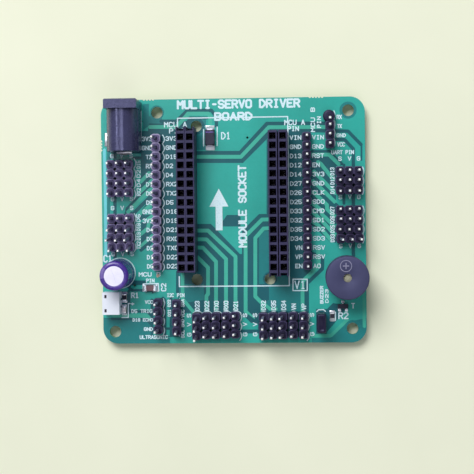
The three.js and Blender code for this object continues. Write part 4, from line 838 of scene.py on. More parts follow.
def area(name, loc, target, size, energy, colour=(1, 1, 1), size_y=None):
    d = bpy.data.lights.new(name, "AREA")
    d.shape = "RECTANGLE"
    d.size = size
    d.size_y = size_y or size
    d.energy = energy
    d.color = colour
    o = bpy.data.objects.new(name, d)
    o.location = loc
    o.rotation_euler = (Vector(target) - Vector(loc)).to_track_quat("-Z", "Y").to_euler()
    bpy.context.scene.collection.objects.link(o)
    return o


area("key", (-0.33, 0.73, 0.97), (0, 0, 0), 0.72, KEY, (1.0, 0.99, 0.97))
streak = area("streak", (-0.29, 0.07, 0.62), (-0.02, 0.0, 0), 0.05, STREAK, (0.95, 0.96, 1.0), 0.5)
streak.visible_diffuse = False
area("fill", (0.36, -0.72, 1.0), (0, 0, 0), 0.9, FILL, (0.94, 0.97, 1.0))
world = bpy.data.worlds.new("studio")
world.use_nodes = True
wt = world.node_tree
wtc = wt.nodes.new("ShaderNodeTexCoord")
wsep = wt.nodes.new("ShaderNodeSeparateXYZ")
wramp = wt.nodes.new("ShaderNodeValToRGB")
wt.links.new(wtc.outputs["Generated"], wsep.inputs[0])
wt.links.new(wsep.outputs["Z"], wramp.inputs[0])
wel = wramp.color_ramp.elements
while len(wel) < 4:
    wel.new(0.5)
for el, (pos, c) in zip(wel, [(0.0, (0.80, 0.82, 0.84)), (0.55, (0.97, 0.985, 1.0)), (0.86, (0.97, 0.985, 1.0)), (0.985, ZENITH)]):
    el.position = pos
    el.color = (*c, 1.0)
wt.links.new(wramp.outputs[0], wt.nodes["Background"].inputs[0])
wt.nodes["Background"].inputs[1].default_value = WORLD
bpy.context.scene.world = world
bpy.context.scene.view_settings.view_transform = "Standard"

# ------------------------------------------------------------------- the board
COPPER_Z, GAP_Z = T, T - 0.03


def circle_from(node_or_xy, r, n=28):
    x, y = node_or_xy
    return ring_pts(x, y, r, n)


M3_HOLES = [(-20.95, 30.35), (32.1, 30.2), (-33.3, -30.65), (32.8, -30.1)]
MODULE_HOLES = [(-10.0, 26.4), (-10.2, -16.25), (10.1, -16.25)]
VIAS = [(4.2, 23.06), (-27.75, -17.75)]
outline = round_rect(BX0, BX1, BY0, BY1, 4.2, 12)


def nibble(pts, x, y, r=0.3):
    """Cuts a half-round bite into a straight side of a counter-clockwise outline."""
    out = []
    for a, b in zip(pts, pts[1:] + pts[:1]):
        out.append(a)
        L = math.hypot(b[0] - a[0], b[1] - a[1])
        ux, uy = (b[0] - a[0]) / L, (b[1] - a[1]) / L
        t = (x - a[0]) * ux + (y - a[1]) * uy
        if r < t < L - r and abs((x - a[0]) * -uy + (y - a[1]) * ux) < 1e-6:
            for k in range(9):
                q = math.pi * k / 8
                dx, dn = -math.cos(q) * r, math.sin(q) * r
                out.append((a[0] + ux * (t + dx) - uy * dn, a[1] + uy * (t + dx) + ux * dn))
    return out


for nx in (-24.6, -23.75, -22.9, -22.05, 21.6, 22.45, 23.3, 24.15, 25.0):
    outline = nibble(outline, nx, BY1)
for ny in (22.6, 21.75, 20.9, 20.05, -20.3, -21.15, -22.0, -22.85):
    outline = nibble(outline, BX0, ny)
holes = [ring_pts(x, y, 1.6, 36) for x, y in M3_HOLES] + [ring_pts(x, y, 1.55, 32) for x, y in MODULE_HOLES]
holes += [ring_pts(x, y, 0.32, 12) for x, y in VIAS]

polys, tone = [outline], [0]
for kind, t, w, pts in PAINT:
    if kind == "a":
        polys.append(ccw(pts)); tone.append(t)
    else:
        for p in stroke_polys(pts, w, 8):
            polys.append(p); tone.append(3 if t == 2 else t)
for (x, y), r, t in ((M3_HOLES[0], 2.0, 1), (M3_HOLES[1], 2.35, 1), (M3_HOLES[2], 1.95, 1), (M3_HOLES[3], 2.3, 1),
                     (MODULE_HOLES[0], 2.3, 0), (MODULE_HOLES[1], 2.0, 0), (MODULE_HOLES[2], 2.0, 0)):
    polys.append(ring_pts(x, y, r, 36)); tone.append(t)
v, tris, top = paint(polys, holes)
tri_tone = [tone[k] for k in top]
pcb = Build()
terrain(pcb, v, tris, tri_tone, lambda x, y, lv: COPPER_Z if lv >= 2 else GAP_Z, T - 0.06,
        {0: 1, 1: 2, 2: 3, 3: 6, 5: 7}, "own", 0)
vc, tc_, topc = paint([outline], holes)
slab(pcb, vc, tc_, 0.06, T - 0.06, 0)

# underside: pour with clearance rings and joining tracks
pin_xy = []


def cad_rows():
    rows = {}
    for n in NODES:
        if n.endswith("_header_housing"):
            lo, hi = box_mm(n)
            k = round((hi[1] - lo[1]) / 2.54)
            x = (lo[0] + hi[0]) / 2
            y0 = (lo[1] + hi[1]) / 2 + (k - 1) * 1.27
            rows[n] = [(x, y0 - 2.54 * i) for i in range(k)]
    return rows


ROWS = cad_rows()
for n in sorted(ROWS):
    pin_xy += ROWS[n]
SERVOS = {}
for n, count, direction in (("upper_left", 4, "x"), ("lower_left", 4, "x"), ("upper_right", 3, "x"),
                            ("lower_right", 4, "x"), ("bottom_left", 5, "y"), ("bottom_right", 5, "y")):
    lo, hi = box_mm(f"servo_{n}_pins")
    cx, cy = (lo[0] + hi[0]) / 2, (lo[1] + hi[1]) / 2
    strips = []
    for i in range(count):
        if direction == "x":
            pitch = (hi[1] - lo[1] - 0.64) / (count - 1)
            y = cy + ((count - 1) / 2 - i) * pitch
            strips.append([(cx + s * 2.54, y) for s in (-1, 0, 1)])
        else:
            pitch = (hi[0] - lo[0] - 0.64) / (count - 1)
            x = cx + (i - (count - 1) / 2) * pitch
            strips.append([(x, cy + s * 2.54) for s in (1, 0, -1)])
    SERVOS[n] = (direction, strips)
    for st in strips:
        pin_xy += st
STRIPS = {}
for n in "abcd":
    lo, hi = box_mm(f"socket_strip_{n}_housing")
    clo, chi = box_mm(f"socket_strip_{n}_contacts")
    x = (lo[0] + hi[0]) / 2
    first = chi[1] - 0.6
    ys = [first - 2.54 * i for i in range(15)]
    STRIPS[n] = (x, lo[1], hi[1], ys, hi[2])
    pin_xy += [(x, y) for y in ys]

lead_xy = []
for n in ("capacitor_lead_positive", "capacitor_lead_negative", "buzzer_lead_positive", "buzzer_lead_negative"):
    lo, hi = box_mm(n)
    lead_xy.append(((lo[0] + hi[0]) / 2, (lo[1] + hi[1]) / 2))
for n in ("battery_socket_pin_positive", "battery_socket_pin_negative"):
    lo, hi = box_mm(n)
    lead_xy.append((hi[0] - 0.25, (lo[1] + hi[1]) / 2))

back, btone = [outline], [3]
for y in STRIPS["a"][3]:
    for x0, x1 in ((ROWS["breakout_left_header_housing"][0][0], STRIPS["b"][0]), (STRIPS["c"][0], ROWS["breakout_right_header_housing"][0][0])):
        for p in stroke_polys([(x0, y), (x1, y)], 1.5, 6):
            back.append(p); btone.append(4)
        for p in stroke_polys([(x0, y), (x1, y)], 0.7, 6):
            back.append(p); btone.append(3)
for x, y in pin_xy + lead_xy:
    back.append(ring_pts(x, y, 1.12, 14)); btone.append(4)
for (x, y) in M3_HOLES:
    back.append(ring_pts(x, y, 2.9, 28)); btone.append(4)
for name, x0, x1, y0, y1 in (("rear", -30.95, -28.55, 19.3, 20.6), ("sleeve", -30.95, -28.55, 25.0, 26.4), ("switch", -34.4, -33.3, 21.8, 24.2)):
    back.append(round_rect(x0 - 0.6, x1 + 0.6, y0 - 0.6, y1 + 0.6, 0.5, 3)); btone.append(4)
vb, tb, topb = paint(back, holes)
terrain(pcb, vb, tb, [btone[k] for k in topb], lambda x, y, lv: 0.0 if lv == 3 else 0.03, 0.06,
        {3: 4, 4: 5}, "own", 0, flip=True)
pcb.obj("circuit_board_laminate", [LAMINATE, MASK_GAP, MASK_MID, MASK_COPPER, MASK_BACK, MASK_BACK_GAP, MASK_TRACE, MASK_RIM_PAINTED_HIGHLIGHT], "board", "circuit_board", "board_green")

# ------------------------------------------------------------- legend printing
GLYPHS = {
    "A": "00 26 40;12 32", "B": "00 06 36 45 44 33 03;33 42 41 30 00", "C": "45 36 16 05 01 10 30 41",
    "D": "00 06 26 44 42 20 00", "E": "46 06 00 40;03 33", "F": "46 06 00;03 33", "G": "45 36 16 05 01 10 30 41 43 23",
    "H": "00 06;40 46;03 43", "I": "16 36;26 20;10 30", "J": "46 41 30 10 01", "K": "00 06;46 03 40", "L": "06 00 40",
    "M": "00 06 23 46 40", "N": "00 06 40 46", "O": "10 01 05 16 36 45 41 30 10", "P": "00 06 36 45 44 33 03",
    "Q": "10 01 05 16 36 45 41 30 10;22 40", "R": "00 06 36 45 44 33 03;23 40",
    "S": "01 10 30 41 42 33 13 04 05 16 36 45", "T": "06 46;26 20", "U": "06 01 10 30 41 46", "V": "06 20 46",
    "W": "06 10 24 30 46", "X": "00 46;06 40", "Y": "06 23 46;23 20", "Z": "06 46 00 40",
    "0": "10 01 05 16 36 45 41 30 10", "1": "15 26 20;10 30", "2": "05 16 36 45 44 00 40",
    "3": "05 16 36 45 44 33 23;33 42 41 30 10 01", "4": "30 36 02 42", "5": "46 06 03 33 42 41 30 10 01",
    "6": "45 36 16 05 01 10 30 41 42 33 13 02", "7": "06 46 20", "8": "13 04 05 16 36 45 44 33 13 02 01 10 30 41 42 33",
    "9": "01 10 30 41 45 36 16 05 04 13 33 44", "-": "13 33", "+": "03 43;21 25", "/": "00 46",
}


def label_polys(text, x0, y0, x1, y1, turn=0, w=0.24):
    """Strokes of a line of text fitted into a box; turn 90 reads upwards."""
    lx, ly = (x1 - x0, y1 - y0) if turn == 0 else (y1 - y0, x1 - x0)
    lx, ly = lx - w, ly - w
    n = len(text)
    k = 0.42                                     # gap between letters, in letter widths
    cw = lx / (n + (n - 1) * k)
    out = []
    for i, ch in enumerate(text):
        if ch == " ":
            continue
        ox = i * cw * (1 + k)
        for part in GLYPHS[ch].split(";"):
            pts = []
            for q in part.split():
                px, py = ox + int(q[0]) / 4 * cw + w / 2, int(q[1]) / 6 * ly + w / 2
                pts.append((x0 + px, y0 + py) if turn == 0 else (x1 - py, y0 + px))
            out += stroke_polys(pts, w, 6)
    return out


legend = Build()
INK_LO, INK_HI = GAP_Z + 0.002, T + 0.018
line_polys = []
for w, pts in SILK_LINES:
    line_polys += stroke_polys(pts, w * (1.18 if w <= 0.25 else 1.06), 6)
cx, cy, cr = (box_mm("capacitor_sleeve")[0][0] + box_mm("capacitor_sleeve")[1][0]) / 2, (box_mm("capacitor_sleeve")[0][1] + box_mm("capacitor_sleeve")[1][1]) / 2, 4.25
line_polys += stroke_polys([(cx + cr * math.cos(a * math.pi / 24), cy + cr * math.sin(a * math.pi / 24)) for a in range(-12, 30)], 0.24, 6)
flat_union(legend, line_polys, INK_LO, INK_HI)
labels = list(LABELS)


def names(col_x0, col_x1, ys, words, w=0.24, h=1.3, right=False):
    n = 3
    cw = (col_x1 - col_x0 + 0.0) / (n + (n - 1) * 0.42)
    for y, s in zip(ys, words):
        wd = cw * (len(s) + (len(s) - 1) * 0.42)
        x0 = col_x1 - wd if right else col_x0
        labels.append((s, x0, y - h / 2, x0 + wd, y + h / 2, 0, w))


ROW_Y = [p[1] for p in ROWS["breakout_left_header_housing"]]
names(-25.3, -22.4, ROW_Y, ("3V3", "GND", "TX", "RX", "D8", "D7", "D6", "D5", "GND", "3V3", "D4", "D3", "D2", "D1", "D0"), right=True)
names(-18.65, -15.35, ROW_Y, ("3V3", "GND", "D15", "D2", "D4", "RX2", "TX2", "D5", "D18", "D19", "D21", "RX0", "TX0", "D22", "D23"))
names(15.9, 19.15, [y - 0.25 for y in ROW_Y], ("VIN", "GND", "D13", "D12", "D14", "D27", "D26", "D25", "D33", "D32", "D35", "D34", "VN", "VP", "EN"), right=True)
names(22.1, 25.4, [y - 0.25 for y in ROW_Y], ("VIN", "GND", "RST", "EN", "3V3", "GND", "CLK", "SD0", "CMD", "SD1", "SD2", "SD3", "RSV", "RSV", "A0"))
SVG_H = 1.25
for word, xs, ys in (("SVG", (29.76, 32.38, 34.85), (16.87, 6.25, -7.29)), ("GVS", (-33.7, -31.0, -28.35), (18.42, 6.43, 3.91, -8.94))):
    for y in ys:
        for ch, x in zip(word, xs):
            labels.append((ch, x - 0.5, y - SVG_H / 2, x + 0.5, y + SVG_H / 2, 0, 0.24))
for x in (-12.6, 3.0, 5.8, 21.6):
    for ch, y in zip("SVG", (-26.3, -28.8, -31.6)):
        labels.append((ch, x - SVG_H / 2, y - 0.55, x + SVG_H / 2, y + 0.55, 90, 0.24))
for x, block, words in ((-26.3, "upper_left", ("D15", "D2", "D4", "RX2")), (-26.5, "lower_left", ("D5", "D18", "D19", "TX2")),
                        (27.6, "upper_right", ("D13", "D12", "D14")), (27.5, "lower_right", ("D27", "D26", "D25", "D33"))):
    for st, s in zip(SERVOS[block][1], words):
        y = st[0][1]
        labels.append((s, x - 0.6, y - 1.12, x + 0.6, y + 1.12, 90, 0.22))
for block, words in (("bottom_left", ("D23", "D22", "TX0", "RX0", "D21")), ("bottom_right", ("D32", "D35", "D34", "VN", "VP"))):
    for k, (st, s) in enumerate(zip(SERVOS[block][1], words)):
        x = st[0][0]
        y0 = -24.95
        labels.append((s, x - 0.68, y0, x + 0.68, y0 + (2.75 if len(s) == 3 else 1.85), 90, 0.26))
for s, x0, y0, x1, y1, turn, w in labels:
    flat_union(legend, label_polys(s, x0, y0, x1, y1, turn, w * (1.06 if w <= 0.27 else 0.97)), INK_LO, INK_HI + 0.006)
# a plain arrow that shows which way the module goes in
ax, ay = -3.9, -2.6
arrow = [(ax - 0.95, ay), (ax + 0.95, ay), (ax + 0.95, ay + 6.6), (ax + 2.65, ay + 6.6), (ax, ay + 11.6), (ax - 2.65, ay + 6.6), (ax - 0.95, ay + 6.6)]
flat_union(legend, [arrow], INK_LO, INK_HI)
legend.obj("board_legend", [INK], "board", slot="board_green")

# ---------------------------------------------------------------- male headers
PIN_TIP = box_mm("breakout_left_header_pins")[1][2]
PIN_TAIL = box_mm("breakout_left_header_pins")[0][2]
MALE_H = box_mm("breakout_left_header_housing")[1][2]
PIN_H = 0.32


def lean(dx, dy):
    def xf(p):
        t = max(0.0, (p[2] - T) / (PIN_TIP - T))
        return (p[0] + dx * t, p[1] + dy * t, p[2])
    return xf


def pin(b, x, y, dx=0.0, dy=0.0):
    def sq(h, z):
        return [(x - h, y - h, z), (x + h, y - h, z), (x + h, y + h, z), (x - h, y + h, z)]
    # the tail and the tip taper take the near-white painted highlight, the shaft the darkened painted shade
    b.rings([sq(0.17, PIN_TAIL), sq(PIN_H, PIN_TAIL + 0.3), sq(PIN_H, T), sq(PIN_H, PIN_TIP - 0.40), sq(0.23, PIN_TIP - 0.07), sq(0.17, PIN_TIP)],
            [1, 0, 0, 1, 1], False, lean(dx, dy), capmat=(1, 1))


def insulator(b, pts, dx, dy, xf_extra=None):
    """One moulded strip: a block per pin with the corners cut away between them."""
    (xa, ya), (xb, yb) = pts[0], pts[-1]
    horizontal = abs(xb - xa) > abs(yb - ya)
    n = len(pts)
    side_a, side_b = [], []
    hw, cut, deep, end = 1.25, 0.46, 0.50, 0.10
    # along the strip from the first pin to the last, u runs with the row, w across it
    for i in range(n):
        c = i * 2.54
        side_a += [(c - 1.27 + (0.0 if i else end), -hw + deep), (c - 1.27 + cut, -hw), (c + 1.27 - cut, -hw)]
        side_b += [(c - 1.27 + (0.0 if i else end), hw - deep), (c - 1.27 + cut, hw), (c + 1.27 - cut, hw)]
    side_a.append(((n - 1) * 2.54 + 1.27 - end, -hw + deep))
    side_b.append(((n - 1) * 2.54 + 1.27 - end, hw - deep))
    loop = side_a + list(reversed(side_b))
    if horizontal:
        o = [(xa + u * (1 if xb > xa else -1), ya + w) for u, w in loop]
    else:
        o = [(xa + w, ya + u * (1 if yb > ya else -1)) for u, w in loop]
    o = ccw(o)
    xf = lean(dx, dy)
    # the strip top between the blocks takes material 1, the lighter edge nylon: painted highlight
    b.rings([[(x, y, T + 0.01) for x, y in inset(o, 0.06)], [(x, y, T + 0.08) for x, y in o], [(x, y, MALE_H - 0.20) for x, y in o]],
            [0, 0], False, xf, capmat=(0, 1))
    for i in range(n):
        ox, oy = pts[i]
        oct8 = [(-1.27 + (0.0 if i else end), -hw + deep), (-1.27 + cut, -hw), (1.27 - cut, -hw), (1.27 - (0.0 if i < n - 1 else end), -hw + deep)]
        oct8 += [(u, -w) for u, w in reversed(oct8)]
        if horizontal:
            crown = [(ox + u * (1 if xb > xa else -1), oy + w) for u, w in oct8]
        else:
            crown = [(ox + w, oy + u * (1 if yb > ya else -1)) for u, w in oct8]
        crown = ccw(crown)
        # each block's top chamfer takes material 1, the lighter edge nylon: painted highlight
        b.rings([[(x, y, MALE_H - 0.26) for x, y in inset(crown, 0.014)], [(x, y, MALE_H - 0.19) for x, y in inset(crown, 0.014)],
                 [(x, y, MALE_H) for x, y in inset(crown, 0.22)]], [0, 1], False, xf, capmat=(0, 0))
    # the moulded boss the pin is pressed through, in the darker boss nylon: painted shade round the pin foot
    for i in range(n):
        px, py = pts[i]
        b.rings([[(px + sx * 0.5, py + sy * 0.5, MALE_H - 0.02) for sx, sy in ((-1, -1), (1, -1), (1, 1), (-1, 1))],
                 [(px + sx * 0.42, py + sy * 0.42, MALE_H + 0.05) for sx, sy in ((-1, -1), (1, -1), (1, 1), (-1, 1))]], 2, False, xf)


def jitter(a=0.04):
    return rng.uniform(-a, a)


LEAN = {"breakout_left_header_housing": LEAN_BL, "breakout_right_header_housing": LEAN_BR, "uart_header_housing": (0.0, -0.06),
        "ultrasonic_header_housing": (-0.2, -0.26), "i2c_header_housing": (0.4, -0.26), "jumper_header_housing": (0.0, 0.0)}
for n in sorted(ROWS):
    base = n[: -len("_housing")]
    pts = ROWS[n]
    dx, dy = LEAN[n]
    hb, pb = Build(), Build()
    insulator(hb, pts, dx, dy)
    if n.startswith("uart"):
        rx, ry = pts[0]
        hb.rings([[(x, y, z) for x, y in ring_pts(rx - 0.2, ry + 0.1, rad, 28)] for rad, z in ((1.6, T + 0.01), (1.68, T + 0.1), (1.68, MALE_H - 0.5), (1.6, MALE_H - 0.2), (1.38, MALE_H - 0.03), (1.0, MALE_H + 0.02))],
                 [0, 0, 0, 0, 0], [False, False, True, True, True], lean(dx, dy))
    for i, (x, y) in enumerate(pts):
        ex, ey = (0.0, -0.8) if n.startswith("uart") and i == 0 else (0.0, 0.0)
        if n.startswith("jumper"):
            pin(pb, x, y)
        else:
            pin(pb, x, y, dx + ex + jitter(), dy + ey + jitter())
    # the left breakout strip takes the painted-lit copy of the black nylon
    hb.obj(base + "_insulator", PAINTED_LIT_NYLON if "left" in n else DARK, "board", base + "_housing", "black_plastic")
    pb.obj(base + "_square_pins", [SHAFT_PAINTED_SHADE, TIP], "board", base + "_pins", "tinned_metal", bevel=(0.035, 1))

for n, (direction, strips) in SERVOS.items():
    hb, pb = Build(), Build()
    for st, tips in zip(strips, SERVO_LEAN[n]):
        dx, dy = tips
        insulator(hb, st, dx, dy)
        for x, y in st:
            pin(pb, x, y, dx + jitter(), dy + jitter())
    # the left servo blocks take the painted-lit copy of the black nylon
    hb.obj(f"servo_{n}_insulators", PAINTED_HALF_LIT_NYLON if n in ("upper_left", "lower_left") else DARK, "board", f"servo_{n}_housing", "black_plastic")
    pb.obj(f"servo_{n}_square_pins", [SHAFT_PAINTED_SHADE, TIP], "board", f"servo_{n}_pins", "tinned_metal", bevel=(0.035, 1))

# --------------------------------------------------------------- socket strips
for n, (x, ylo, yhi, ys, top_z) in STRIPS.items():
    dx = {"a": 0.08, "b": 0.03, "c": -0.04, "d": 0.0}[n]

    def strip_lean(p, dx=dx):
        t = max(0.0, (p[2] - T) / (top_z - T))
        return (p[0] + dx * t, p[1], p[2])
    x0, x1 = x - 1.25, x + 1.25
    o, wi, wo = [(x0, ylo), (x1, ylo), (x1, yhi), (x0, yhi)], 0.85, 0.94
    inner, outer = [], []
    for y in ys:
        inner.append([(x - wi, y - wi), (x + wi, y - wi), (x + wi, y + wi), (x - wi, y + wi)])
        outer.append([(x - wo, y - wo), (x + wo, y - wo), (x + wo, y + wo), (x - wo, y + wo)])
    if n in "ab":
        y = ys[0] + 2.54
        inner.append([(x - wi, y - wi), (x + wi, y - wi), (x + wi, yhi), (x - wi, yhi)])
        outer.append([(x - wo, y - wo), (x + wo, y - wo), (x + wo, yhi), (x - wo, yhi)])
    else:
        y = ys[-1] - 2.54
        inner.append([(x - wi, ylo), (x + wi, ylo), (x + wi, y + wi), (x - wi, y + wi)])
        outer.append([(x - wo, ylo), (x + wo, ylo), (x + wo, y + wo), (x - wo, y + wo)])
    chamfer = inset(o, 0.09)
    v, tris, top = paint([o, chamfer] + outer + inner)
    k0 = 2 + len(outer)
    lv = [2 if k >= k0 else 1 for k in top]

    def hz(px, py, level, o=o, inner=inner, x=x, ylo=ylo, yhi=yhi):
        if level == 2:
            return T + 0.95
        if abs(abs(px - x) - 1.25) < 1e-4 or abs(py - ylo) < 1e-4 or abs(py - yhi) < 1e-4:
            if abs(px - x) > wo - 1e-3:
                return top_z - 0.09
        for q in inner:
            if q[0][0] - 1e-4 <= px <= q[2][0] + 1e-4 and q[0][1] - 1e-4 <= py <= q[2][1] + 1e-4:
                return top_z - 0.16
        return top_z
    b = Build()
    # the floors of the openings (level 2) take the near-black painted shade
    terrain(b, v, tris, lv, hz, T + 0.01, {1: 0, 2: 1}, 0, 0, xf=strip_lean)
    b.obj(f"socket_strip_{n}_body", [BLACK_STRIP, CAVITY_PAINTED_SHADE], "board", f"socket_strip_{n}_housing", "black_plastic")
    c = Build()
    for y in ys:
        for s in (-1, 1):
            c.bar([(x, y + s * 0.62, T + 0.97), (x, y + s * 0.60, T + 3.0), (x, y + s * 0.20, T + 4.6), (x, y + s * 0.24, T + 5.3), (x, y + s * 0.5, T + 6.0)],
                  0.9, 0.16, up=(0, 1, 0), xf=strip_lean)
        c.box(x - 0.45, x + 0.45, y - 0.7, y + 0.7, T + 0.955, T + 1.12, 0.02)
        c.box(x - 0.3, x + 0.3, y - 0.16, y + 0.16, PIN_TAIL, T + 0.3, 0.04)
    # the fork contacts take the darkened metal: painted shade
    c.obj(f"socket_strip_{n}_fork_contacts", [CONTACT_PAINTED_SHADE], "board", f"socket_strip_{n}_contacts", "contact_metal")

# ------------------------------------------------------------------ power jack
jlo, jhi = box_mm("dc_jack_housing")
jx = (jlo[0] + jhi[0]) / 2
jy0, jy1, jz1 = jlo[1], jhi[1], jhi[2]
plo, phi = box_mm("dc_jack_centre_pin")
jz = 8.1
hw = (jhi[0] - jlo[0]) / 2
jack = Build()


def to_front(p):
    """local (across, up, along) -> row frame; along is measured towards the mouth"""
    return (jx + p[0], p[2], p[1])


flange = [(-hw, T + 0.02), (hw, T + 0.02), (hw, jz1), (-hw, jz1)]
bore = ring_pts(0, jz, 3.2, 40)
mouth = ring_pts(0, jz, 3.55, 40)
rim = ring_pts(0, jz, 4.15, 40)
v, tris, top = paint([flange, inset(flange, 0.28), rim, mouth], [bore])


def fz(px, py, lv):
    r = math.hypot(px, py - jz)
    if r < 3.21:
        return jy1 - 0.35
    if abs(abs(px) - hw) < 1e-3 or abs(py - jz1) < 1e-3 or abs(py - T - 0.02) < 1e-3:
        return jy1 - 0.25
    return jy1


terrain(jack, v, tris, [1] * len(tris), fz, jy1 - 2.6, 0, 0, 0, flip=True, xf=to_front, smooth=True)
arch = [(-hw + 0.12, T + 0.02), (hw - 0.12, T + 0.02), (hw - 0.12, jz - 0.6), (4.0, jz - 0.1)]
for i in range(1, 32):
    a = math.pi * i / 32
    rr = 3.98
    px, pz = rr * math.cos(a), jz - 0.1 + rr * math.sin(a) * 0.985 + 0.0
    if abs(px) < 0.42:
        pz -= 0.14
    arch.append((px, pz))
arch += [(-4.0, jz - 0.1), (-hw + 0.12, jz - 0.6)]
v, tris, top = paint([arch], [ring_pts(0, jz, 1.0, 24)])
v2, t2, top2 = paint([arch, bore])
# the bore's far wall (level 2) takes the darker moulding copy: painted shade
terrain(jack, v2, t2, [1 if k == 0 else 2 for k in top2], lambda px, py, lv: (jy1 - 2.62) if lv == 1 else (jy1 - 9.8), jy0,
        {1: 0, 2: 1}, 0, 0, flip=True, xf=to_front, smooth=True)
jack_o = jack.obj("dc_jack_moulding", [JACK, JACK_INSIDE_PAINTED_SHADE], "board", "dc_jack_housing", "jack_plastic", bevel=(0.14, 2))

cp = Build()
prof = [(0, -0.05), (1.02, -0.05), (1.02, 9.0), (0.98, 9.25), (0.86, 9.45), (0.62, 9.6), (0.3, 9.66), (0, 9.68)]
py0 = phi[1] - 9.68
cp.lathe(prof, 0, 0, 28, 0, True, xf=lambda p: (jx + p[0], py0 + p[2], jz + p[1] * -1))
cp.box(jx - 0.8, jx + 0.8, jy0 + 0.28, jy0 + 0.68, PIN_TAIL, T + 1.5, 0.08)
cp.obj("dc_jack_plug_pin", [TIN], "board", "dc_jack_centre_pin", "tinned_metal", sharp=50)

# ------------------------------------------------------------------- capacitor
slo, shi = box_mm("capacitor_sleeve")
ccx, ccy, ctop, cr = (slo[0] + shi[0]) / 2, (slo[1] + shi[1]) / 2, shi[2], (shi[0] - slo[0]) / 2
sl = Build()
pr = [(3.72, T + 0.3), (3.9, T + 0.28), (4.0, T + 0.5), (4.0, T + 1.55), (3.86, T + 1.85), (3.84, T + 2.1), (3.98, T + 2.5), (4.0, T + 2.9),
      (4.0, ctop - 0.85), (3.96, ctop - 0.5), (3.84, ctop - 0.24), (3.62, ctop - 0.08), (3.3, ctop), (2.95, ctop - 0.02), (2.72, ctop - 0.08), (2.72, ctop - 0.16),
      (3.25, ctop - 0.14), (3.72, ctop - 0.4)]
nseg = 64


def cap_lean(p):
    t = (p[2] - T) / (ctop - T)
    return (p[0] + 0.06 * t, p[1] - 0.28 * t, p[2])


sl.loop(pr, ccx, ccy, nseg, 0, True, cap_lean)
for k in range(len(sl.f)):
    i = k % nseg
    if 25 <= i <= 33:
        sl.m[k] = 1
sl.obj("capacitor_shrink_sleeve", [SLEEVE, SLEEVE_MARK], "board", "capacitor_sleeve", "capacitor_sleeve", sharp=60)
can = Build()
disc = ring_pts(ccx, ccy, 3.7, 64)
score = []
for a in (0.35, 0.35 + math.pi / 2):
    score += stroke_polys([(ccx - 2.0 * math.cos(a), ccy - 2.0 * math.sin(a)), (ccx + 2.0 * math.cos(a), ccy + 2.0 * math.sin(a))], 0.16, 6)
v, tris, top = paint([disc, ring_pts(ccx, ccy, 2.45, 48)] + score)
terrain(can, v, tris, [2 if k > 1 else 1 for k in top],
        lambda x, y, lv: (ctop - 0.30 if lv == 2 else (ctop - 0.2 if math.hypot(x - ccx, y - ccy) > 3 else ctop - 0.17)), ctop - 0.5, 0, 0, 0, xf=cap_lean)
can.loop([(3.52, T + 0.45), (3.68, T + 0.45), (3.68, ctop - 0.52), (3.52, ctop - 0.52)], ccx, ccy, 48, 0, True, cap_lean)
can.obj("capacitor_aluminium_can", [ALU], "board", "capacitor_can", "capacitor_aluminium", sharp=30)

# ---------------------------------------------------------------------- buzzer
blo, bhi = box_mm("buzzer_case")
bx, by, btop, br = (blo[0] + bhi[0]) / 2, (blo[1] + bhi[1]) / 2, bhi[2], (bhi[0] - blo[0]) / 2
bz = Build()
prof = [(1.15, btop - 0.08), (1.15, btop - 0.8), (4.9, btop - 0.8), (4.9, T + 6.3), (5.3, T + 6.3), (5.3, T + 0.3), (5.75, T + 0.2), (5.9, T + 0.35),
        (5.9, T + 1.1), (5.84, T + 1.16), (5.84, T + 1.3), (5.9, T + 1.36), (5.9, btop - 0.42), (5.86, btop - 0.2), (5.74, btop - 0.06), (5.55, btop), (1.26, btop)]
bz.loop(prof, bx, by, 72, 0, True)
mx, my = bx - 0.42, by + 3.25
for p, r0, r1 in ((0, 1.42, 1.62),):
    bz.loop([(r0, btop - 0.02), (r1, btop - 0.02), (r1, btop + 0.07), (r0, btop + 0.07)], mx, my, 32, 1, False)
bz.box(mx - 0.85, mx + 0.85, my - 0.15, my + 0.15, btop - 0.02, btop + 0.07, 0.02, 1)
bz.box(mx - 0.15, mx + 0.15, my - 0.85, my + 0.85, btop - 0.02, btop + 0.066, 0.02, 1)
bz.obj("buzzer_moulded_case", [BUZZER, BUZZER_MARK], "board", "buzzer_case", "jack_plastic", sharp=40)
dp = Build()
dlo, dhi = box_mm("buzzer_diaphragm")
dp.lathe([(0, dlo[2]), (5.15, dlo[2]), (5.15, dhi[2]), (2.4, dhi[2]), (2.2, dhi[2] + 0.15), (2.0, btop - 0.95), (1.7, btop - 0.86), (0, btop - 0.84)], bx, by, 40, 0, [False, False, False, True, True, True, True])
dp.obj("buzzer_diaphragm_disc", [DISC], "board", "buzzer_diaphragm", "spring_steel")

# -------------------------------------------------------------- jumper and cap
klo, khi = box_mm("jumper_cap")
kx, ky = (klo[0] + khi[0]) / 2, (klo[1] + khi[1]) / 2
jc = Build()


def rr(hx, hy, r, z):
    return [(x, y, z) for x, y in round_rect(kx - hx, kx + hx, ky - hy, ky + hy, r, 5)]


hx, hy = (khi[0] - klo[0]) / 2, (khi[1] - klo[1]) / 2
jc.rings([rr(0.63, 1.98, 0.1, khi[2] - 0.32), rr(0.63, 1.98, 0.1, klo[2] + 0.15), rr(0.72, 2.07, 0.15, klo[2]), rr(hx - 0.08, hy - 0.08, 0.4, klo[2]), rr(hx, hy, 0.45, klo[2] + 0.1),
          rr(hx, hy, 0.45, khi[2] - 0.45), rr(hx - 0.05, hy - 0.05, 0.45, khi[2] - 0.22), rr(hx - 0.18, hy - 0.18, 0.4, khi[2] - 0.07), rr(hx - 0.38, hy - 0.38, 0.3, khi[2]),
          rr(hx - 0.62, hy - 0.75, 0.25, khi[2]), rr(hx - 0.7, hy - 0.85, 0.2, khi[2] - 0.12)],
         0, True)
jc.obj("jumper_cap_moulding", [BLACK], "jumper", "jumper_cap", "black_plastic", sharp=50)

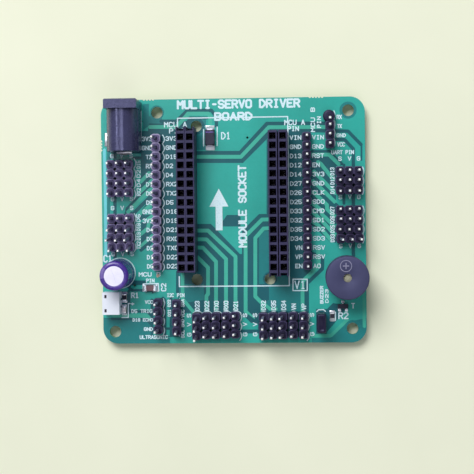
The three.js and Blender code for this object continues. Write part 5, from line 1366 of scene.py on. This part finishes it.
# --------------------------------------------------------- small surface parts
def fillet(b, x0, x1, y0, y1, edge, h=0.35, mat=0):
    """A solder pad with a wetted slope rising towards the part on the named edge."""
    z0, z1 = T + 0.0, T + 0.05
    b.prism(round_rect(x0, x1, y0, y1, 0.12, 2), z0 + 0.001, z1, 0.03, 0, mat)
    g = 0.12
    if edge in ("N", "S"):
        s = 1 if edge == "N" else -1
        yi, yo = (y1 - g, y0 + g) if s > 0 else (y0 + g, y1 - g)
        pts = [(x0 + g, yi, z1 - 0.01), (x1 - g, yi, z1 - 0.01), (x1 - g, yi, z1 + h), (x0 + g, yi, z1 + h),
               (x0 + g, yo, z1 - 0.01), (x1 - g, yo, z1 - 0.01), (x0 + g, (yi + yo) / 2, z1 + h * 0.3), (x1 - g, (yi + yo) / 2, z1 + h * 0.3)]
        f = [[0, 1, 2, 3], [3, 2, 7, 6], [6, 7, 5, 4], [1, 0, 4, 5], [1, 5, 7, 2], [0, 3, 6, 4]]
    else:
        s = 1 if edge == "E" else -1
        xi, xo = (x1 - g, x0 + g) if s > 0 else (x0 + g, x1 - g)
        pts = [(xi, y0 + g, z1 - 0.01), (xi, y1 - g, z1 - 0.01), (xi, y1 - g, z1 + h), (xi, y0 + g, z1 + h),
               (xo, y0 + g, z1 - 0.01), (xo, y1 - g, z1 - 0.01), ((xi + xo) / 2, y0 + g, z1 + h * 0.3), ((xi + xo) / 2, y1 - g, z1 + h * 0.3)]
        f = [[0, 1, 2, 3], [3, 2, 7, 6], [6, 7, 5, 4], [1, 0, 4, 5], [1, 5, 7, 2], [0, 3, 6, 4]]
    c = [sum(p[k] for p in pts) / 8 for k in range(3)]
    ff = []
    for q in f:
        a, bb, d = (Vector(pts[q[0]]), Vector(pts[q[1]]), Vector(pts[q[2]]))
        nrm = (bb - a).cross(d - a)
        mid = sum((Vector(pts[i]) for i in q), Vector()) / 4 - Vector(c)
        ff.append(q if nrm.dot(mid) > 0 else list(reversed(q)))
    b.add(pts, ff, mat)


joints = Build()


def chip(node, name, mats, slot, top_mat=None, cap=0.38, lens=False):
    lo, hi = box_mm(node)
    along_x = (hi[0] - lo[0]) > (hi[1] - lo[1])
    b = Build()
    x0, y0, z0 = lo
    x1, y1, z1 = hi
    e = 0.035
    if along_x:
        b.box(x0 + 0.04, x1 - 0.04, y0 + e, y1 - e, z0 + 0.01, z1 - e, 0.06, 0)
        b.box(x0, x0 + cap, y0, y1, z0, z1, 0.07, 1)
        b.box(x1 - cap, x1, y0, y1, z0, z1, 0.07, 1)
        fillet(joints, x0 - 0.55, x0 + 0.15, y0 - 0.1, y1 + 0.1, "E", (hi[2] - lo[2]) * 0.6)
        fillet(joints, x1 - 0.15, x1 + 0.55, y0 - 0.1, y1 + 0.1, "W", (hi[2] - lo[2]) * 0.6)
    else:
        b.box(x0 + e, x1 - e, y0 + 0.04, y1 - 0.04, z0 + 0.01, z1 - e - (0.25 if lens else 0), 0.06, 0)
        hcap = z1 - (0.28 if lens else 0)
        b.box(x0, x1, y0, y0 + cap, z0, hcap, 0.06, 1)
        b.box(x0, x1, y1 - cap, y1, z0, hcap, 0.06, 1)
        if top_mat is not None:
            b.box(x0 + 0.06, x1 - 0.06, y0 + cap + 0.02, y1 - cap - 0.02, z1 - e - 0.02, z1 - 0.002, 0.03, 2)
        if lens:
            b.prism(round_rect(x0 + 0.1, x1 - 0.1, y0 + cap - 0.05, y1 - cap + 0.05, 0.3, 5), hcap - 0.25, z1, 0.16, 0.0, 2, steps=3)
        fillet(joints, x0 - 0.1, x1 + 0.1, y0 - 0.5, y0 + 0.15, "N", (hi[2] - lo[2]) * 0.6)
        fillet(joints, x0 - 0.1, x1 + 0.1, y1 - 0.15, y1 + 0.5, "S", (hi[2] - lo[2]) * 0.6)
    b.obj(name, mats, "board", node, slot)


chip("resistor_r1", "resistor_r1_chip", [CERAMIC, SOLDER, EPOXY], "component_black", top_mat=2)
chip("resistor_r2", "resistor_r2_chip", [CERAMIC, SOLDER, EPOXY], "component_black", top_mat=2)
chip("capacitor_c2", "capacitor_c2_chip", [TAN, SOLDER], "component_tan", cap=0.6)
chip("power_led", "power_led_body", [CERAMIC, SOLDER, LENS], "led_lens", lens=True)

dlo, dhi = box_mm("diode_d1")
dx_, dy_ = (dlo[0] + dhi[0]) / 2, (dlo[1] + dhi[1]) / 2
d = Build()
o = [(dx_ - 1.35, dy_ - 2.12), (dx_ + 1.35, dy_ - 2.12), (dx_ + 1.35, dy_ + 2.12), (dx_ - 1.35, dy_ + 2.12)]
d.rings([[(x, y, T + 0.16) for x, y in inset(o, 0.1)], [(x, y, T + 1.1) for x, y in o], [(x, y, dhi[2] - 0.05) for x, y in inset(o, 0.14)], [(x, y, dhi[2]) for x, y in inset(o, 0.2)]], 0)
d.box(dx_ - 1.1, dx_ + 1.1, dy_ + 1.3, dy_ + 1.55, dhi[2] - 0.03, dhi[2] + 0.012, 0.0, 2)
for s in (-1, 1):
    d.bar([(dx_, dy_ + s * 2.0, T + 1.1), (dx_, dy_ + s * 2.42, T + 1.08), (dx_, dy_ + s * 2.5, T + 0.95), (dx_, dy_ + s * 2.5, T + 0.25), (dx_, dy_ + s * 2.38, T + 0.14), (dx_, dy_ + s * 1.6, T + 0.12)],
          1.5, 0.2, 1, up=(0, 0, 1) if False else (0, s * 0.3, 1))
d.obj("diode_d1_package", [EPOXY, DIODE_END, SLEEVE_MARK], "board", "diode_d1", "component_black")
fillet(joints, dx_ - 1.25, dx_ + 1.25, dy_ - 3.5, dy_ - 2.2, "N", 0.5)
fillet(joints, dx_ - 1.25, dx_ + 1.25, dy_ + 2.2, dy_ + 3.4, "S", 0.95)

tlo, thi = box_mm("transistor_t1")
tx, ty = (tlo[0] + thi[0]) / 2, -23.9
t1 = Build()
o = [(tx - 1.45, ty - 0.65), (tx + 1.45, ty - 0.65), (tx + 1.45, ty + 0.65), (tx - 1.45, ty + 0.65)]
t1.rings([[(x, y, T + 0.12) for x, y in inset(o, 0.06)], [(x, y, T + 0.6) for x, y in o], [(x, y, thi[2]) for x, y in inset(o, 0.09)]], 0)
for lx, s in ((0, 1), (-0.95, -1), (0.95, -1)):
    t1.bar([(tx + lx, ty + s * 0.5, T + 0.62), (tx + lx, ty + s * 0.82, T + 0.6), (tx + lx, ty + s * 0.92, T + 0.18), (tx + lx, ty + s * 1.2, T + 0.12)], 0.4, 0.13, 1)
    y0, y1 = sorted((ty + s * 0.85, ty + s * 1.55))
    fillet(joints, tx + lx - 0.42, tx + lx + 0.42, y0, y1, "S" if s > 0 else "N", 0.12)
t1.obj("transistor_t1_package", [EPOXY, TIN], "board", "transistor_t1", "component_black")

# ------------------------------------------------------------ solder, underside
for x, y in pin_xy + lead_xy:
    k = 1 + jitter(0.08)
    joints.lathe([(0, -0.95 * k), (0.36, -0.95 * k), (0.44, -0.7 * k), (0.58, -0.4), (0.78, -0.16), (0.9, -0.03), (0.9, 0.031), (0, 0.031)][::1], x, y, 12, 0,
                 [False, True, True, True, True, False, False])
for x0, x1, y0, y1 in ((-30.85, -28.65, 19.35, 20.55), (-30.75, -28.75, 25.1, 26.3), (-34.35, -33.35, 21.9, 24.1)):
    cx0, cy0 = (x0 + x1) / 2, (y0 + y1) / 2
    hx0, hy0 = (x1 - x0) / 2, (y1 - y0) / 2
    rs = []
    for g, z in ((-0.02, 0.031), (-0.02, -0.04), (0.12, -0.2), (0.26, -0.5), (0.34, -0.8)):
        rs.append([(x, y, z) for x, y in round_rect(cx0 - hx0 - 0.25 + g, cx0 + hx0 + 0.25 - g, cy0 - hy0 - 0.25 + g, cy0 + hy0 + 0.25 - g, 0.3, 4)])
    joints.rings(list(reversed(rs)), 0, True)
# top-side pads of the jack, wetted where the terminals come up
for x0, x1, y0, y1, h in ((jx - 2.2, jx + 2.2, jy0 - 0.86, jy0 + 0.2, 0.55), (jlo[0] - 1.5, jlo[0] - 0.3, 21.0, 25.0, 0.3)):
    q = round_rect(x0, x1, y0, y1, 0.35, 4)
    if h > 0.5:
        q = [(jx - 0.45 + 2.2 * math.cos(math.pi + a * math.pi / 16), jy0 + 0.06 + 0.84 * math.sin(math.pi + a * math.pi / 16)) for a in range(17)]
        q += [(jx + 1.75, jy0 + 0.3), (jx - 2.65, jy0 + 0.3)]
        # the crescent takes material 2, the near-white solder: painted highlight
        joints.rings([[(x, y, T + 0.001) for x, y in q], [(x, y, T + 0.14 + 0.42 * (y - jy0 + 0.78)) for x, y in q], [(x, y, T + 0.18 + 0.42 * (y - jy0 + 0.78)) for x, y in inset(q, 0.05)]], 2, False)
        continue
    joints.rings([[(x, y, T + 0.001) for x, y in q], [(x, y, T + 0.05) for x, y in q], [(x, y, T + h * 0.55) for x, y in inset(q, 0.16)], [(x, y, T + h) for x, y in inset(q, 0.3)]], 0, True)
sx0, sy0 = -21.15, -15.05
blob = [(sx0 + (0.42 + 0.14 * math.sin(2 * a * 0.524 + 0.6)) * math.cos(a * 0.524), sy0 + (0.55 + 0.12 * math.cos(3 * a * 0.524)) * math.sin(a * 0.524)) for a in range(12)]
joints.rings([[(x, y, T + 0.001) for x, y in blob], [(x, y, T + 0.06) for x, y in inset(blob, 0.06)], [(x, y, T + 0.12) for x, y in inset(blob, 0.2)]], 1, True)
joints.obj("solder_joints", [SOLDER, FLUX, SOLDER_LUG_PAINTED_HIGHLIGHT], "board", slot="tinned_metal", sharp=60)

# ------------------------------------------- carried-over nodes and their looks
LOOKS = {
    "battery_socket_housing": NYLON, "battery_socket_pin_positive": TIN, "battery_socket_pin_negative": TIN,
    "dc_jack_sleeve_terminal": TIN, "dc_jack_switch_contact": TIN, "dc_jack_spring_leaf": BRONZE,
    "capacitor_bung": RUBBER, "capacitor_lead_positive": TIN, "capacitor_lead_negative": TIN,
    "buzzer_base": BASEBOARD, "buzzer_drive_coil": COPPER, "buzzer_lead_positive": TIN, "buzzer_lead_negative": TIN,
    "jumper_cap_clip": BRONZE,
}
for n, mt in LOOKS.items():
    ob = NODES[n]
    ob.data.materials.clear()
    ob.data.materials.append(mt)
bh = NODES["battery_socket_housing"].data
# recessed faces inside the battery housing take the dark painted shade
bh.materials.append(NYLON_SHADE)
blo, bhi = box_mm("battery_socket_housing")
for poly in bh.polygons:
    cz = poly.center[2] / MM
    nz = abs(poly.normal[2])
    edge = min(abs(poly.center[0] / MM - blo[0]), abs(poly.center[0] / MM - bhi[0]), abs(poly.center[1] / MM - blo[1]), abs(poly.center[1] / MM - bhi[1]))
    if (edge > 0.3 or nz > 0.5) and blo[2] + 0.3 < cz < bhi[2] - 0.01:
        poly.material_index = 1
for n, w in (("battery_socket_housing", 0.12), ("jumper_cap_clip", 0.04), ("dc_jack_spring_leaf", 0.03)):
    mod = NODES[n].modifiers.new("edge", "BEVEL")
    mod.width = w * MM
    mod.segments = 2
    mod.limit_method = "ANGLE"
    mod.angle_limit = math.radians(50)
    mod.use_clamp_overlap = True
